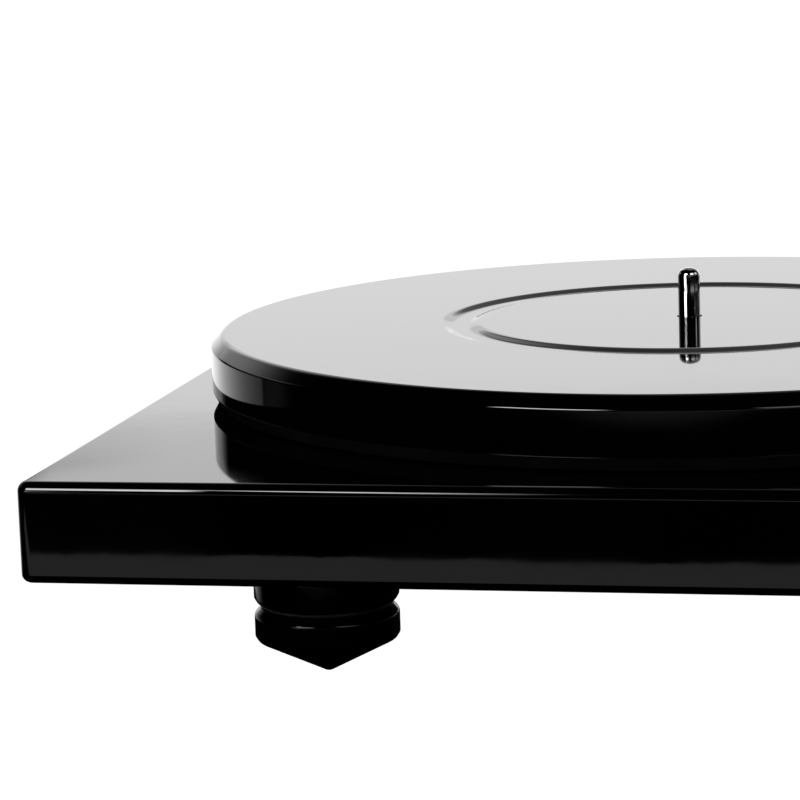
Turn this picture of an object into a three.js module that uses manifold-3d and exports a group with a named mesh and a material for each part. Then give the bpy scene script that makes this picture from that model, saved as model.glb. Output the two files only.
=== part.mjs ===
// Belt-drive turntable: gloss black plinth on three cone feet, thick bevelled
// platter on a ball-ended spindle bearing, inner sub-platter driven by a belt,
// two push buttons and a nine-inch tonearm.
// Millimetres, +Z up. Origin: on the floor, under the middle of the plinth.
import * as THREE from "three";
import { mergeVertices } from "three/addons/utils/BufferGeometryUtils.js";
import Module from "manifold-3d";

const wasm = await Module();
wasm.setup();

// ---------- driving dimensions ----------
const GAP = 0.3; // clearance kept between neighbouring solids
const DETAIL = 0.6; // share of each turned piece's nominal facet count that is built

const PLINTH_X = 450, PLINTH_Y = 345, PLINTH_T = 28.6;
const PLINTH_EDGE = 3, PLINTH_CORNER = 4;
const FOOT_H = 30.2; // floor to plinth underside
const ZB = FOOT_H, ZT = FOOT_H + PLINTH_T; // plinth bottom and top

const PX = -59, PY = -3; // platter axis
const PLATTER_R = 150, PLATTER_TOP = 21.2, PLATTER_LOW = 0.6; // heights above the plinth
const BEVEL_IN = 3.6, BEVEL_DOWN = 3.6, LOW_BEVEL_IN = 2.1, LOW_BEVEL_UP = 3.8;
const GROOVE_R1 = 79, GROOVE_R2 = 67.5, GROOVE_D = 0.95;
const CAVITY_R = 110, CAVITY_TOP = 13;
const SPINDLE_R = 3.6, SPINDLE_UP = 15.2;

const SUB_R = 60, SUB_FLANGE = 61.6;
const MOTOR_D = 85, MOTOR_ANG = (135 * Math.PI) / 180;
const PULLEY_R = 8, PULLEY_FLANGE = 9.4, BELT_T = 0.8;
const BELT_Z0 = 6.0, BELT_Z1 = 10.8;

const FOOT_R = 20.4, FOOT_TIP_R = 1.0;
const FOOT_FX = 145.2, FOOT_FY = -141.5, FOOT_RY = 141.5;

const ARM_X = 131, ARM_Y = 97, ARM_Z = 41.1; // pivot, height above the plinth
const ARM_H = 207; // pivot to headshell joint
const HEAD_ANG = (24 * Math.PI) / 180, STYLUS_S = 25;
const TUBE_R = 4.5, TUBE_IN = 3.6;

const BTN_X = 199, BTN_Y1 = -60, BTN_Y2 = -84, BTN_R = 6;

// ---------- materials ----------
const mat = (color, roughness, metalness) =>
  new THREE.MeshStandardMaterial({ color, roughness, metalness });
const M = {
  lacquer: mat(0x050506, 0.06, 0),
  platter: mat(0x0a0a0b, 0.08, 0),
  chrome: mat(0xd4d6da, 0.08, 1),
  steel: mat(0x8f9296, 0.3, 1),
  zinc: mat(0xa7abb0, 0.4, 1),
  brass: mat(0xb58b43, 0.3, 1),
  bronze: mat(0x8c6239, 0.4, 1),
  alu: mat(0xb9bcc0, 0.3, 1),
  armblack: mat(0x111214, 0.25, 0.6),
  foot: mat(0x08080a, 0.2, 0.4),
  rubber: mat(0x121212, 0.85, 0),
  plastic: mat(0x16171a, 0.45, 0),
  subplastic: mat(0x1c1d20, 0.5, 0),
  board: mat(0x1f5a36, 0.6, 0),
  belt: mat(0x1a1a1a, 0.8, 0),
  coated: mat(0x2a2c2f, 0.5, 0.3),
};

// ---------- solid helpers ----------
// Merged, closed, outward-facing copy of a geometry.
function clean(geometry) {
  const g = geometry.clone();
  g.deleteAttribute("normal");
  g.deleteAttribute("uv");
  const m = mergeVertices(g, 1e-4);
  const p = m.attributes.position, old = m.index.array, tri = [];
  let vol = 0;
  const a = new THREE.Vector3(), b = new THREE.Vector3(), c = new THREE.Vector3();
  for (let i = 0; i < old.length; i += 3) {
    const [i0, i1, i2] = [old[i], old[i + 1], old[i + 2]];
    if (i0 === i1 || i1 === i2 || i0 === i2) continue;
    tri.push(i0, i1, i2);
    a.fromBufferAttribute(p, i0);
    b.fromBufferAttribute(p, i1);
    c.fromBufferAttribute(p, i2);
    vol += a.dot(b.cross(c));
  }
  if (vol < 0) for (let i = 0; i < tri.length; i += 3) [tri[i + 1], tri[i + 2]] = [tri[i + 2], tri[i + 1]];
  m.setIndex(tri);
  return m;
}
function solid(geometry) {
  const m = clean(geometry);
  return new wasm.Manifold(
    new wasm.Mesh({
      numProp: 3,
      vertProperties: new Float32Array(m.attributes.position.array),
      triVerts: new Uint32Array(m.index.array),
    }),
  );
}
function geo(manifold) {
  const out = manifold.getMesh();
  const g = new THREE.BufferGeometry();
  g.setAttribute("position", new THREE.BufferAttribute(new Float32Array(out.vertProperties), 3));
  g.setIndex(new THREE.BufferAttribute(new Uint32Array(out.triVerts), 1));
  return g;
}
const cut = (base, ...tools) => geo(tools.reduce((s, t) => s.subtract(solid(t)), solid(base)));
const join = (...parts) => geo(parts.slice(1).reduce((s, t) => s.add(solid(t)), solid(parts[0])));

// Turned solid about +Z from [radius, z] points.
function turned(points, segments = 32) {
  const n = Math.max(10, Math.round(segments * DETAIL));
  const p = points.map(([r, z]) => new THREE.Vector2(r, z));
  if (points[0][0] > 0) p.push(p[0].clone());
  return new THREE.LatheGeometry(p, n).rotateX(Math.PI / 2);
}
const disc = (r, z0, z1, segments = 32) => turned([[0, z0], [r, z0], [r, z1], [0, z1]], segments);
const ring = (r0, r1, z0, z1, segments = 32) => turned([[r0, z0], [r1, z0], [r1, z1], [r0, z1]], segments);
const block = (x0, x1, y0, y1, z0, z1) =>
  new THREE.BoxGeometry(x1 - x0, y1 - y0, z1 - z0).translate((x0 + x1) / 2, (y0 + y1) / 2, (z0 + z1) / 2);

function roundedRect(x0, x1, y0, y1, r) {
  const s = new THREE.Shape();
  s.moveTo(x0 + r, y0);
  s.lineTo(x1 - r, y0);
  s.absarc(x1 - r, y0 + r, r, -Math.PI / 2, 0, false);
  s.lineTo(x1, y1 - r);
  s.absarc(x1 - r, y1 - r, r, 0, Math.PI / 2, false);
  s.lineTo(x0 + r, y1);
  s.absarc(x0 + r, y1 - r, r, Math.PI / 2, Math.PI, false);
  s.lineTo(x0, y0 + r);
  s.absarc(x0 + r, y0 + r, r, Math.PI, 1.5 * Math.PI, false);
  return s;
}
// Extruded plate from z0 to z1 with an optional rounded rim.
function plate(shape, z0, z1, edge = 0, segments = 2, curveSegments = 4) {
  const g = new THREE.ExtrudeGeometry(shape, {
    depth: z1 - z0 - 2 * edge,
    bevelEnabled: edge > 0,
    bevelThickness: edge,
    bevelSize: edge,
    bevelOffset: -edge,
    bevelSegments: segments,
    curveSegments,
  });
  return g.translate(0, 0, z0 + edge);
}
const poly = (pts) => new THREE.Shape(pts.map(([x, y]) => new THREE.Vector2(x, y)));
// The same shape laid along +Y instead of +Z: local +Z becomes world +Y.
const alongY = (g) => g.rotateX(-Math.PI / 2);
// Local +Z becomes world +X.
const alongX = (g) => g.rotateY(Math.PI / 2);

const turntable = new THREE.Group();
function piece(parent, name, geometry, material, x = 0, y = 0, z = 0) {
  const g = clean(geometry).toNonIndexed();
  g.computeVertexNormals();
  const mesh = new THREE.Mesh(g, material);
  mesh.name = name;
  mesh.position.set(x, y, z);
  parent.add(mesh);
  return mesh;
}
function group(parent, x, y, z, turn = 0) {
  const g = new THREE.Group();
  g.position.set(x, y, z);
  g.rotation.z = turn;
  parent.add(g);
  return g;
}

// ---------- plinth ----------
const MOTOR_X = PX + MOTOR_D * Math.cos(MOTOR_ANG), MOTOR_Y = PY + MOTOR_D * Math.sin(MOTOR_ANG);
const LIFT_ANG = (-60 * Math.PI) / 180, LIFT_R = 34;
const LX = LIFT_R * Math.cos(LIFT_ANG), LY = LIFT_R * Math.sin(LIFT_ANG);
const U = -PLINTH_T; // underside, measured from the plinth top
const RECESS = U + 2.1;
const lShape = (g) => poly([[-165 + g, -112 + g], [215 - g, -112 + g], [215 - g, 168 - g], [95 + g, 168 - g], [95 + g, 112 - g], [-165 + g, 112 - g]]);
const BASE_SCREWS = [[-157, -104], [207, -104], [-157, 104], [207, 160]];
const LEAD = [[-100.6, 57.1], [100, 57.1], [150, 6], [187, -50]];
const deck = group(turntable, 0, 0, ZT);

const plinthCuts = [
  plate(lShape(0), U - 1, RECESS),
  disc(12.3, U - 1, 1).translate(PX, PY, 0),
  disc(20.5, U - 1, -20).translate(PX, PY, 0),
  disc(20, U - 1, 1, 36).translate(MOTOR_X, MOTOR_Y, 0),
  block(178, 220, -94, -50, U - 1, -9),
  disc(BTN_R + 0.4, -10, 1, 24).translate(BTN_X, BTN_Y1, 0),
  disc(BTN_R + 0.4, -10, 1, 24).translate(BTN_X, BTN_Y2, 0),
  disc(9.3, -23, 1, 28).translate(ARM_X, ARM_Y, 0),
  block(113, 157, 160.9, 180, -23, -5),
  block(117, 153, 140, 162, U - 1, -7),
  alongY(disc(6.6, 145, 180, 24)).translate(185, 0, -14),
  disc(3, U - 1, -14, 16).translate(185, 148, 0),
];
for (const s of [-1, 1]) {
  const a = MOTOR_ANG + (s * Math.PI) / 2;
  plinthCuts.push(disc(1.8, -13, 1, 12).translate(MOTOR_X + 23 * Math.cos(a), MOTOR_Y + 23 * Math.sin(a), 0));
}
for (const [x, y] of BASE_SCREWS) plinthCuts.push(disc(1.8, U - 1, -15, 12).translate(x, y, 0));
for (const [x, y] of [[-FOOT_FX, FOOT_FY], [FOOT_FX, FOOT_FY], [0, FOOT_RY]])
  plinthCuts.push(disc(4.3, U - 1, U + 17.8, 20).translate(x, y, 0));
// channel for the motor lead, cut from below between the pockets
for (let i = 0; i + 1 < LEAD.length; i++) {
  const [x0, y0] = LEAD[i], [x1, y1] = LEAD[i + 1];
  const l = Math.hypot(x1 - x0, y1 - y0);
  plinthCuts.push(
    block(-3, l + 3, -4.5, 4.5, U - 1, RECESS + 5).rotateZ(Math.atan2(y1 - y0, x1 - x0)).translate(x0, y0, 0),
  );
}
const plinthBody = plate(
  roundedRect(-PLINTH_X / 2, PLINTH_X / 2, -PLINTH_Y / 2, PLINTH_Y / 2, PLINTH_CORNER),
  U, 0, PLINTH_EDGE, 3, 3,
);
piece(deck, "plinth", cut(plinthBody, ...plinthCuts), M.lacquer);

// ---------- underside cover ----------
piece(
  deck, "base_plate",
  cut(plate(lShape(GAP), U + 0.2, U + 1.8), ...BASE_SCREWS.map(([x, y]) => disc(3.3, U, U + 3, 16).translate(x, y, 0))),
  M.coated,
);
BASE_SCREWS.forEach(([x, y], i) => {
  const screw = cut(
    turned([[0, U + 0.2], [3, U + 0.2], [3, U + 1.0], [1.5, U + 2.4], [1.5, -16], [0, -16]], 16),
    block(-2.4, 2.4, -0.4, 0.4, U, U + 0.9),
  );
  piece(deck, `base_screw_${i + 1}`, screw, M.zinc, x, y, 0);
});

// ---------- main bearing ----------
const bearing = group(deck, PX, PY, 0);
piece(bearing, "bearing_housing", turned([[8.3, -24], [12, -24], [12, 0.3], [19, 0.3], [20, 1.3], [20, 1.9], [19, 2.8], [8.3, 2.8]], 36), M.alu);
piece(bearing, "bearing_ring_nut", cut(ring(12.3, 18.5, -24.3, -20.3, 36), block(-20, 20, -1.5, 1.5, -25, -22.8)), M.steel);
piece(bearing, "bearing_end_cap", cut(turned([[0, -26.2], [11.2, -26.2], [12, -25.4], [12, -24.3], [8, -24.3], [8, -22.3], [0, -22.3]], 28), block(-5, 5, -0.6, 0.6, -27, -25.4)), M.brass);
piece(bearing, "thrust_pad", disc(7.5, -22, -19.7, 24), M.plastic);
piece(bearing, "thrust_ball", new THREE.SphereGeometry(2.5, 12, 7).rotateX(Math.PI / 2), M.chrome, 0, 0, -16.9);
piece(bearing, "bearing_bush", turned([[5.3, -13.5], [8, -13.5], [8, 2.5], [5.3, 2.5]], 28), M.bronze);

// ---------- platter assembly ----------
const spinning = group(deck, PX, PY, 0);
const RB = PLATTER_R - LOW_BEVEL_IN;
piece(
  spinning, "platter",
  turned([
    [SPINDLE_R + GAP, CAVITY_TOP], [CAVITY_R - 2, CAVITY_TOP], [CAVITY_R, CAVITY_TOP - 2],
    [CAVITY_R, PLATTER_LOW], [RB, PLATTER_LOW], [PLATTER_R, PLATTER_LOW + LOW_BEVEL_UP],
    [PLATTER_R, PLATTER_TOP - BEVEL_DOWN], [PLATTER_R - BEVEL_IN, PLATTER_TOP],
    [GROOVE_R1 + 1, PLATTER_TOP], [GROOVE_R1 - 1.2, PLATTER_TOP - GROOVE_D * 0.5], [GROOVE_R1 - 3.4, PLATTER_TOP - GROOVE_D],
    [GROOVE_R2 + 3.4, PLATTER_TOP - GROOVE_D], [GROOVE_R2 + 1.2, PLATTER_TOP - GROOVE_D * 0.5], [GROOVE_R2 - 1, PLATTER_TOP],
    [SPINDLE_R + GAP, PLATTER_TOP],
  ], 93),
  M.platter,
);
const subHoles = [0, 1, 2, 3, 4, 5].map((k) =>
  disc(9, 7, 14, 16).translate(36 * Math.cos((k * Math.PI) / 3), 36 * Math.sin((k * Math.PI) / 3), 0));
piece(
  spinning, "sub_platter",
  cut(turned([
    [5.3, 3.3], [13, 3.3], [13, 8.2], [56, 8.2], [56, 4.4], [SUB_FLANGE, 4.4], [SUB_FLANGE, 5.4], [SUB_R, 5.6],
    [SUB_R, 11.3], [SUB_FLANGE, 11.5], [SUB_FLANGE, 12.7], [5.3, 12.7],
  ], 60), ...subHoles),
  M.subplastic,
);
piece(
  spinning, "spindle_shaft",
  turned([
    [0, -14.1], [4.2, -14.1], [5, -13.3], [5, 12.4], [SPINDLE_R, 12.4], [SPINDLE_R, PLATTER_TOP + SPINDLE_UP - 2],
    [3.2, PLATTER_TOP + SPINDLE_UP - 0.9], [2.2, PLATTER_TOP + SPINDLE_UP - 0.2], [1.2, PLATTER_TOP + SPINDLE_UP], [0, PLATTER_TOP + SPINDLE_UP],
  ], 28),
  M.chrome,
);

// ---------- motor and belt ----------
const motor = group(deck, MOTOR_X, MOTOR_Y, 0, MOTOR_ANG);
piece(motor, "motor_can", cut(turned([[0, -25.5], [17, -25.5], [18, -24.5], [18, -1], [17, 0], [5, 0], [5, 2.2], [0, 2.2]], 36), disc(1.8, -11, 3, 16)), M.steel);
piece(motor, "motor_plate", cut(plate(roundedRect(-24, 21, -28, 28, 8), 0.3, 1.8), disc(5.4, 0, 2, 20), disc(1.8, 0, 2, 12).translate(0, 23, 0), disc(1.8, 0, 2, 12).translate(0, -23, 0)), M.zinc);
for (const [name, y] of [["motor_screw_1", 23], ["motor_screw_2", -23]])
  piece(motor, name, cut(turned([[0, -11], [1.5, -11], [1.5, 2.1], [3, 2.1], [3, 3.2], [2.2, 3.9], [0, 3.9]], 16), block(-3.2, 3.2, -0.4, 0.4, 3.2, 4.2)), M.steel, 0, y, 0);
piece(motor, "motor_shaft", turned([[0, -10.6], [1.5, -10.6], [1.5, 12.0], [1.1, 12.4], [0, 12.4]], 16), M.steel);
piece(motor, "motor_pulley", turned([[1.8, 2.8], [5, 2.8], [5, 4.4], [PULLEY_FLANGE, 4.6], [PULLEY_FLANGE, 5.2], [PULLEY_R, 5.5], [PULLEY_R, 11.3], [PULLEY_FLANGE, 11.6], [PULLEY_FLANGE, 12.1], [1.8, 12.1]], 28), M.brass);

function beltLoop(grow) {
  const r1 = SUB_R + GAP + grow, r2 = PULLEY_R + GAP + grow;
  const phi = Math.acos((r1 - r2) / MOTOR_D), pts = [];
  for (let i = 0; i <= 34; i++) {
    const t = MOTOR_ANG + phi + ((2 * Math.PI - 2 * phi) * i) / 34;
    pts.push([r1 * Math.cos(t), r1 * Math.sin(t)]);
  }
  const cx = MOTOR_D * Math.cos(MOTOR_ANG), cy = MOTOR_D * Math.sin(MOTOR_ANG);
  for (let i = 0; i <= 10; i++) {
    const t = MOTOR_ANG - phi + (2 * phi * i) / 10;
    pts.push([cx + r2 * Math.cos(t), cy + r2 * Math.sin(t)]);
  }
  return poly(pts);
}
// the chords of the faceted loop stay clear of the pulley and the rim
piece(spinning, "drive_belt", cut(plate(beltLoop(BELT_T + 0.15), BELT_Z0, BELT_Z1), plate(beltLoop(0.15), BELT_Z0 - 1, BELT_Z1 + 1)), M.belt);

// ---------- control board, buttons, motor lead ----------
piece(
  deck, "control_board",
  join(
    block(180.5, 217.5, -92, -52, -15, -13.4),
    block(BTN_X - 3.2, BTN_X + 3.2, BTN_Y1 - 3.2, BTN_Y1 + 3.2, -13.6, -9.6), disc(1.8, -9.8, -9.0, 12).translate(BTN_X, BTN_Y1, 0),
    block(BTN_X - 3.2, BTN_X + 3.2, BTN_Y2 - 3.2, BTN_Y2 + 3.2, -13.6, -9.6), disc(1.8, -9.8, -9.0, 12).translate(BTN_X, BTN_Y2, 0),
    block(183, 191, -78, -66, -13.6, -11.8), block(206, 214, -74, -66, -13.6, -10.6),
    block(183, 190, -58, -53.5, -19, -14.8), disc(3, -20.5, -14.8, 16).translate(209, -60, 0),
  ),
  M.board,
);
for (const [name, y] of [["power_bezel", BTN_Y1], ["speed_bezel", BTN_Y2]])
  piece(deck, name, turned([[BTN_R + 0.4, 0.3], [9, 0.3], [9, 0.9], [8.4, 1.4], [BTN_R + 0.4, 1.4]], 32), M.alu, BTN_X, y, 0);
piece(deck, "power_button", turned([[0, -7], [5.4, -7], [6, -6.4], [6, 2.0], [5.5, 2.6], [1, 2.3], [0, 2.3]], 28), M.alu, BTN_X, BTN_Y1, 0);
piece(deck, "speed_button", turned([[0, -7], [5.4, -7], [6, -6.4], [6, 2.0], [5.5, 2.6], [1, 2.3], [0, 2.3]], 28), M.alu, BTN_X, BTN_Y2, 0);
{
  const z = RECESS + 2.4, at = ([x, y]) => new THREE.Vector3(x, y, z), path = new THREE.CurvePath();
  let from = at(LEAD[0]);
  for (let i = 1; i + 1 < LEAD.length; i++) {
    const c = at(LEAD[i]), back = from.clone().sub(c).setLength(5), on = at(LEAD[i + 1]).sub(c).setLength(5);
    const a = c.clone().add(back), b = c.clone().add(on);
    path.add(new THREE.LineCurve3(from, a));
    path.add(new THREE.QuadraticBezierCurve3(a, c, b));
    from = b;
  }
  path.add(new THREE.LineCurve3(from, at(LEAD[LEAD.length - 1])));
  const s = new THREE.Shape();
  for (let i = 0; i < 8; i++) {
    const t = (i * Math.PI) / 4;
    i ? s.lineTo(1.5 * Math.cos(t), 1.5 * Math.sin(t)) : s.moveTo(1.5, 0);
  }
  piece(deck, "motor_lead", new THREE.ExtrudeGeometry(s, { steps: 26, extrudePath: path, bevelEnabled: false }), M.rubber);
}

// ---------- rear sockets ----------
const rear = group(deck, 0, 0, -14);
piece(rear, "terminal_panel", cut(block(113.3, 156.7, 161.3, 162.8, -8.7, 8.7), ...[121.5, 135, 148.5].map((x) => alongY(disc(3.3, 160, 164, 16)).translate(x, 0, 0))), M.plastic);
for (const [name, x, m] of [["rca_left", 121.5, M.brass], ["rca_right", 135, M.brass]])
  piece(rear, name, cut(alongY(turned([[0, 150], [2.9, 150], [2.9, 163.1], [5.5, 163.1], [5.5, 165.2], [4.15, 165.2], [4.15, 171.8], [3.8, 172.2], [0, 172.2]], 20)), alongY(disc(1.6, 162, 174, 12))), m, x, 0, 0);
piece(rear, "ground_post", alongY(turned([[0, 150], [2, 150], [2, 163.1], [4.5, 163.1], [4.5, 168], [3.6, 169], [2, 169], [2, 172], [0, 172]], 20)), M.brass, 148.5, 0, 0);
piece(rear, "dc_inlet", cut(alongY(turned([[0, 146], [6.2, 146], [6.2, 171.4], [5.6, 172], [0, 172]], 24)), alongY(ring(1, 2.9, 162, 174, 20))), M.plastic, 185, 0, 0);

// ---------- feet ----------
for (const [tag, x, y] of [["front_left", -FOOT_FX, FOOT_FY], ["front_right", FOOT_FX, FOOT_FY], ["rear", 0, FOOT_RY]]) {
  const f = group(turntable, x, y, 0);
  piece(f, `foot_cone_${tag}`, turned([[0, 0], [FOOT_TIP_R, 0], [17.9, 8.2], [19.5, 9.2], [FOOT_R, 10.6], [FOOT_R, 16.9], [18.6, 18.9], [0, 18.9]], 28), M.foot);
  piece(f, `foot_damper_${tag}`, disc(18.2, 19.2, 19.6, 28), M.rubber);
  piece(f, `foot_upper_${tag}`, turned([[0, 19.9], [18.5, 19.9], [19.7, 20.6], [FOOT_R, 21.8], [FOOT_R, 29.2], [19.8, 29.9], [4, 29.9], [4, FOOT_H + 12.2], [3.2, FOOT_H + 13], [0, FOOT_H + 13]], 28), M.foot);
}

// ---------- tonearm ----------
const arm = group(deck, ARM_X, ARM_Y, 0);
piece(arm, "arm_base", cut(plate(roundedRect(-24, 36, -42, 28, 10), 0.3, 5, 0.8, 1, 4), disc(9.3, -1, 6, 28)), M.armblack);
piece(arm, "arm_pillar", cut(turned([[0, -22], [8.4, -22], [9, -21.4], [9, 23.2], [8.2, 24], [0, 24]], 28), disc(4.3, 11.7, 25, 20)), M.alu);
piece(arm, "pillar_collar", cut(turned([[9.3, 5.3], [13.4, 5.3], [14, 5.9], [14, 11.4], [13.4, 12], [9.3, 12]], 32), block(-16, -6, -0.7, 0.7, 5, 13)), M.armblack);
piece(
  arm, "arm_yoke",
  cut(
    join(
      turned([[0, 12], [4, 12], [4, 24.3], [16.2, 24.3], [17, 25.1], [17, 27.5], [16.2, 28.3], [0, 28.3]], 32),
      plate(roundedRect(-7, 7, -6, 6, 3), 0, 5).rotateY(Math.PI / 2).translate(11.5, 0, 42.3),
      plate(roundedRect(-7, 7, -6, 6, 3), 0, 5).rotateY(Math.PI / 2).translate(-16.5, 0, 42.3),
      block(11.5, 16, -6, 6, 27, 38), block(-16, -11.5, -6, 6, 27, 38),
    ),
    alongX(disc(2.8, -30, 30, 20)).translate(0, 0, ARM_Z),
  ),
  M.armblack,
);
piece(arm, "pivot_screw_right", cut(alongX(turned([[0, 8.3], [0.8, 8.3], [2.5, 10.4], [2.5, 16.8], [3.6, 16.8], [3.6, 18.6], [3, 19.2], [0, 19.2]], 20)), block(18.4, 20, -0.4, 0.4, -3, 3)), M.steel, 0, 0, ARM_Z);
piece(arm, "pivot_screw_left", cut(alongX(turned([[0, -8.3], [0.8, -8.3], [2.5, -10.4], [2.5, -16.8], [3.6, -16.8], [3.6, -18.6], [3, -19.2], [0, -19.2]], 20)), block(-20, -18.4, -0.4, 0.4, -3, 3)), M.steel, 0, 0, ARM_Z);
piece(
  arm, "arm_block",
  cut(
    plate(roundedRect(-8, 8, -11, 11, 3), -8, 8, 1.2, 1, 3),
    alongY(disc(TUBE_R + GAP, -12, -3, 24)), alongY(disc(3.8, 3, 12, 20)),
  ),
  M.armblack, 0, 0, ARM_Z,
);
piece(arm, "arm_tube", alongY(ring(TUBE_IN, TUBE_R, -ARM_H + 8, -3.3, 24)), M.alu, 0, 0, ARM_Z);
piece(arm, "counterweight_shaft", alongY(turned([[0, 3.3], [3.5, 3.3], [3.5, 67.2], [2.8, 68], [0, 68]], 20)), M.steel, 0, 0, ARM_Z);
piece(arm, "counterweight", alongY(turned([[3.8, 42], [11.5, 42], [12.5, 43], [12.5, 57], [11.9, 57.5], [11.9, 58.5], [12.5, 59], [12.5, 61], [11.5, 62], [3.8, 62]], 36)), M.steel, 0, 0, ARM_Z);
// headshell, turned inwards by the offset angle; its own +Y points to the pivot
const head = group(arm, 0, -ARM_H, ARM_Z, -HEAD_ANG);
{
  const outline = poly([[-5, 6], [-9, -2], [-9, -31], [-7.5, -35], [7.5, -35], [9, -31], [9, -2], [5, 6]]);
  const neck = alongY(disc(TUBE_R, 0, 7.7, 24)).rotateZ(HEAD_ANG);
  const lift = block(8.6, 19, -27, -24.4, -0.6, 0.6);
  const tip = disc(2.2, -0.6, 0.9, 14).translate(19.6, -25.7, 0);
  const slots = [-6.35, 6.35].map((x) => plate(roundedRect(x - 1.4, x + 1.4, -24, -10, 1.35), -3, 3));
  piece(head, "headshell", cut(join(plate(outline, -1.2, 1.2), neck, lift, tip), ...slots), M.armblack);
  // side outline of the cartridge in (y, z), extruded across its width
  const side = poly([[-30, -4], [-30, -12], [-27.5, -15.7], [-6, -15.7], [-3, -12], [-3, -1.5], [-28, -1.5]]);
  piece(head, "cartridge", plate(side, -7.6, 7.6).rotateX(Math.PI / 2).rotateZ(Math.PI / 2), M.plastic);
  piece(head, "stylus", join(block(-2.6, 2.6, -27, -14, -17, -16), disc(0.8, -16.4, -15.9, 10).translate(0, -STYLUS_S, 0), turned([[0, -17.7], [0.3, -17.5], [0.9, -16.8], [0.9, -16.2], [0, -16.2]], 10).translate(0, -STYLUS_S, 0)), M.plastic);
}
piece(arm, "arm_rest", join(turned([[0, 0.3], [8, 0.3], [8, 2.4], [7.2, 3.2], [4, 3.2], [4, 33.6], [0, 33.6]], 24), block(-6, 8.2, -3, 3, 33, 36.3), block(5.2, 8.2, -3, 3, 35, 44)), M.armblack, 0, -80, 0);

// ---------- arm lift ----------
const LEVER_Z = 11.6; // cue lever pivot above the plinth
piece(
  arm, "lift_housing",
  cut(turned([[0, 5.3], [7.3, 5.3], [7.3, 6.5], [6.5, 7.1], [6.5, 23.2], [5.8, 24], [0, 24]], 28), disc(2.5, 12.5, 25, 20), alongX(disc(2.1, 3.1, 8, 16)).translate(0, 0, LEVER_Z)),
  M.armblack, LX, LY, 0,
);
{
  const pts = [], a0 = (-57 * Math.PI) / 180, a1 = (-146 * Math.PI) / 180, n = 18;
  for (let i = 0; i <= n; i++) { const t = a0 + ((a1 - a0) * i) / n; pts.push([(LIFT_R + 1.8) * Math.cos(t), (LIFT_R + 1.8) * Math.sin(t)]); }
  for (let i = n; i >= 0; i--) { const t = a0 + ((a1 - a0) * i) / n; pts.push([(LIFT_R - 1.8) * Math.cos(t), (LIFT_R - 1.8) * Math.sin(t)]); }
  piece(arm, "lift_bar", join(plate(poly(pts), 30.4, 33.0), disc(2.2, 13, 31, 20).translate(LX, LY, 0)), M.armblack);
}
piece(
  arm, "cue_lever",
  join(
    alongX(turned([[0, 3.5], [1.8, 3.5], [1.8, 6.8], [4, 6.8], [4, 10.8], [0, 10.8]], 20)),
    block(7.6, 10, -28, 0, -1.4, 1.4),
    alongX(disc(3, 7.2, 10.4, 18)).translate(0, -29, 0),
  ),
  M.armblack, LX, LY, LEVER_Z,
);
// ---------- anti-skate dial ----------
piece(arm, "anti_skate_knob", cut(turned([[0, 5.3], [7.5, 5.3], [7.5, 7.3], [6.4, 7.6], [6.4, 13.2], [5.8, 13.8], [0, 13.8]], 28), block(-0.5, 0.5, 2, 7, 13, 14.5)), M.alu, 24, 8, 0);

export default turntable;
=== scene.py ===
import math

import bmesh
import bpy
from mathutils import Matrix, Vector, noise


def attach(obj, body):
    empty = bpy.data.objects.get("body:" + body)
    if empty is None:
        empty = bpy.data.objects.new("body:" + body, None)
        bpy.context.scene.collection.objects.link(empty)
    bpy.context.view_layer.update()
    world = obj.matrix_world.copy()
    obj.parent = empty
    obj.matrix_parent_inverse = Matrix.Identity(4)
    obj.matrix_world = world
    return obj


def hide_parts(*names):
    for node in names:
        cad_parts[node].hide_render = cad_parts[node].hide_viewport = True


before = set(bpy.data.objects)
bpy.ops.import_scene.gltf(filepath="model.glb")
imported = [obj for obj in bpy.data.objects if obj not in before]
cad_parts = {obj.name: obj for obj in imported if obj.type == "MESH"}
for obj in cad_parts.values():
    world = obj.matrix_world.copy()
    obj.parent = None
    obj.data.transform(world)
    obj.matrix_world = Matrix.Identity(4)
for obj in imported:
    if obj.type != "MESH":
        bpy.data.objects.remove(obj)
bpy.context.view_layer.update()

# Belt-drive turntable. Lengths below are in millimetres unless a name ends in
# _m; the finished meshes are scaled to metres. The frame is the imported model's:
# +Z up, the floor at 0, the origin under the middle of the plinth.
MM = 0.001
scene = bpy.context.scene

# ------------------------------------------------------------------ sizes
FOOT_H = 30.2
PLINTH_T = 28.6
ZB, ZT = FOOT_H, FOOT_H + PLINTH_T
PX, PY = -59.0, -3.0
PLATTER_R, PLATTER_TOP, PLATTER_LOW = 150.0, 21.2, 0.6
BEVEL = 3.6
GROOVE_R1, GROOVE_R2, GROOVE_D = 77.7, 66.0, 0.92
SPINDLE_R, SPINDLE_UP = 3.6, 15.2
SUB_R, SUB_FLANGE = 60.0, 61.6
MOTOR_D, MOTOR_ANG = 85.0, math.radians(135)
MOTOR_X = PX + MOTOR_D * math.cos(MOTOR_ANG)
MOTOR_Y = PY + MOTOR_D * math.sin(MOTOR_ANG)
ARM_X, ARM_Y, ARM_Z = 131.0, 97.0, 41.1
ARM_H, HEAD_ANG, STYLUS_S = 207.0, math.radians(24), 25.0
TUBE_R = 4.5
BTN_X, BTN_Y1, BTN_Y2, BTN_R = 199.0, -60.0, -84.0, 6.0
LIFT_R, LIFT_ANG = 34.0, math.radians(-60)
LX, LY = LIFT_R * math.cos(LIFT_ANG), LIFT_R * math.sin(LIFT_ANG)
LEVER_Z = 11.6
U = -PLINTH_T
FOOT_R = 20.4
FEET = (("front_left", -145.2, -141.5), ("front_right", 145.2, -141.5), ("rear", 0.0, 141.5))


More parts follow.
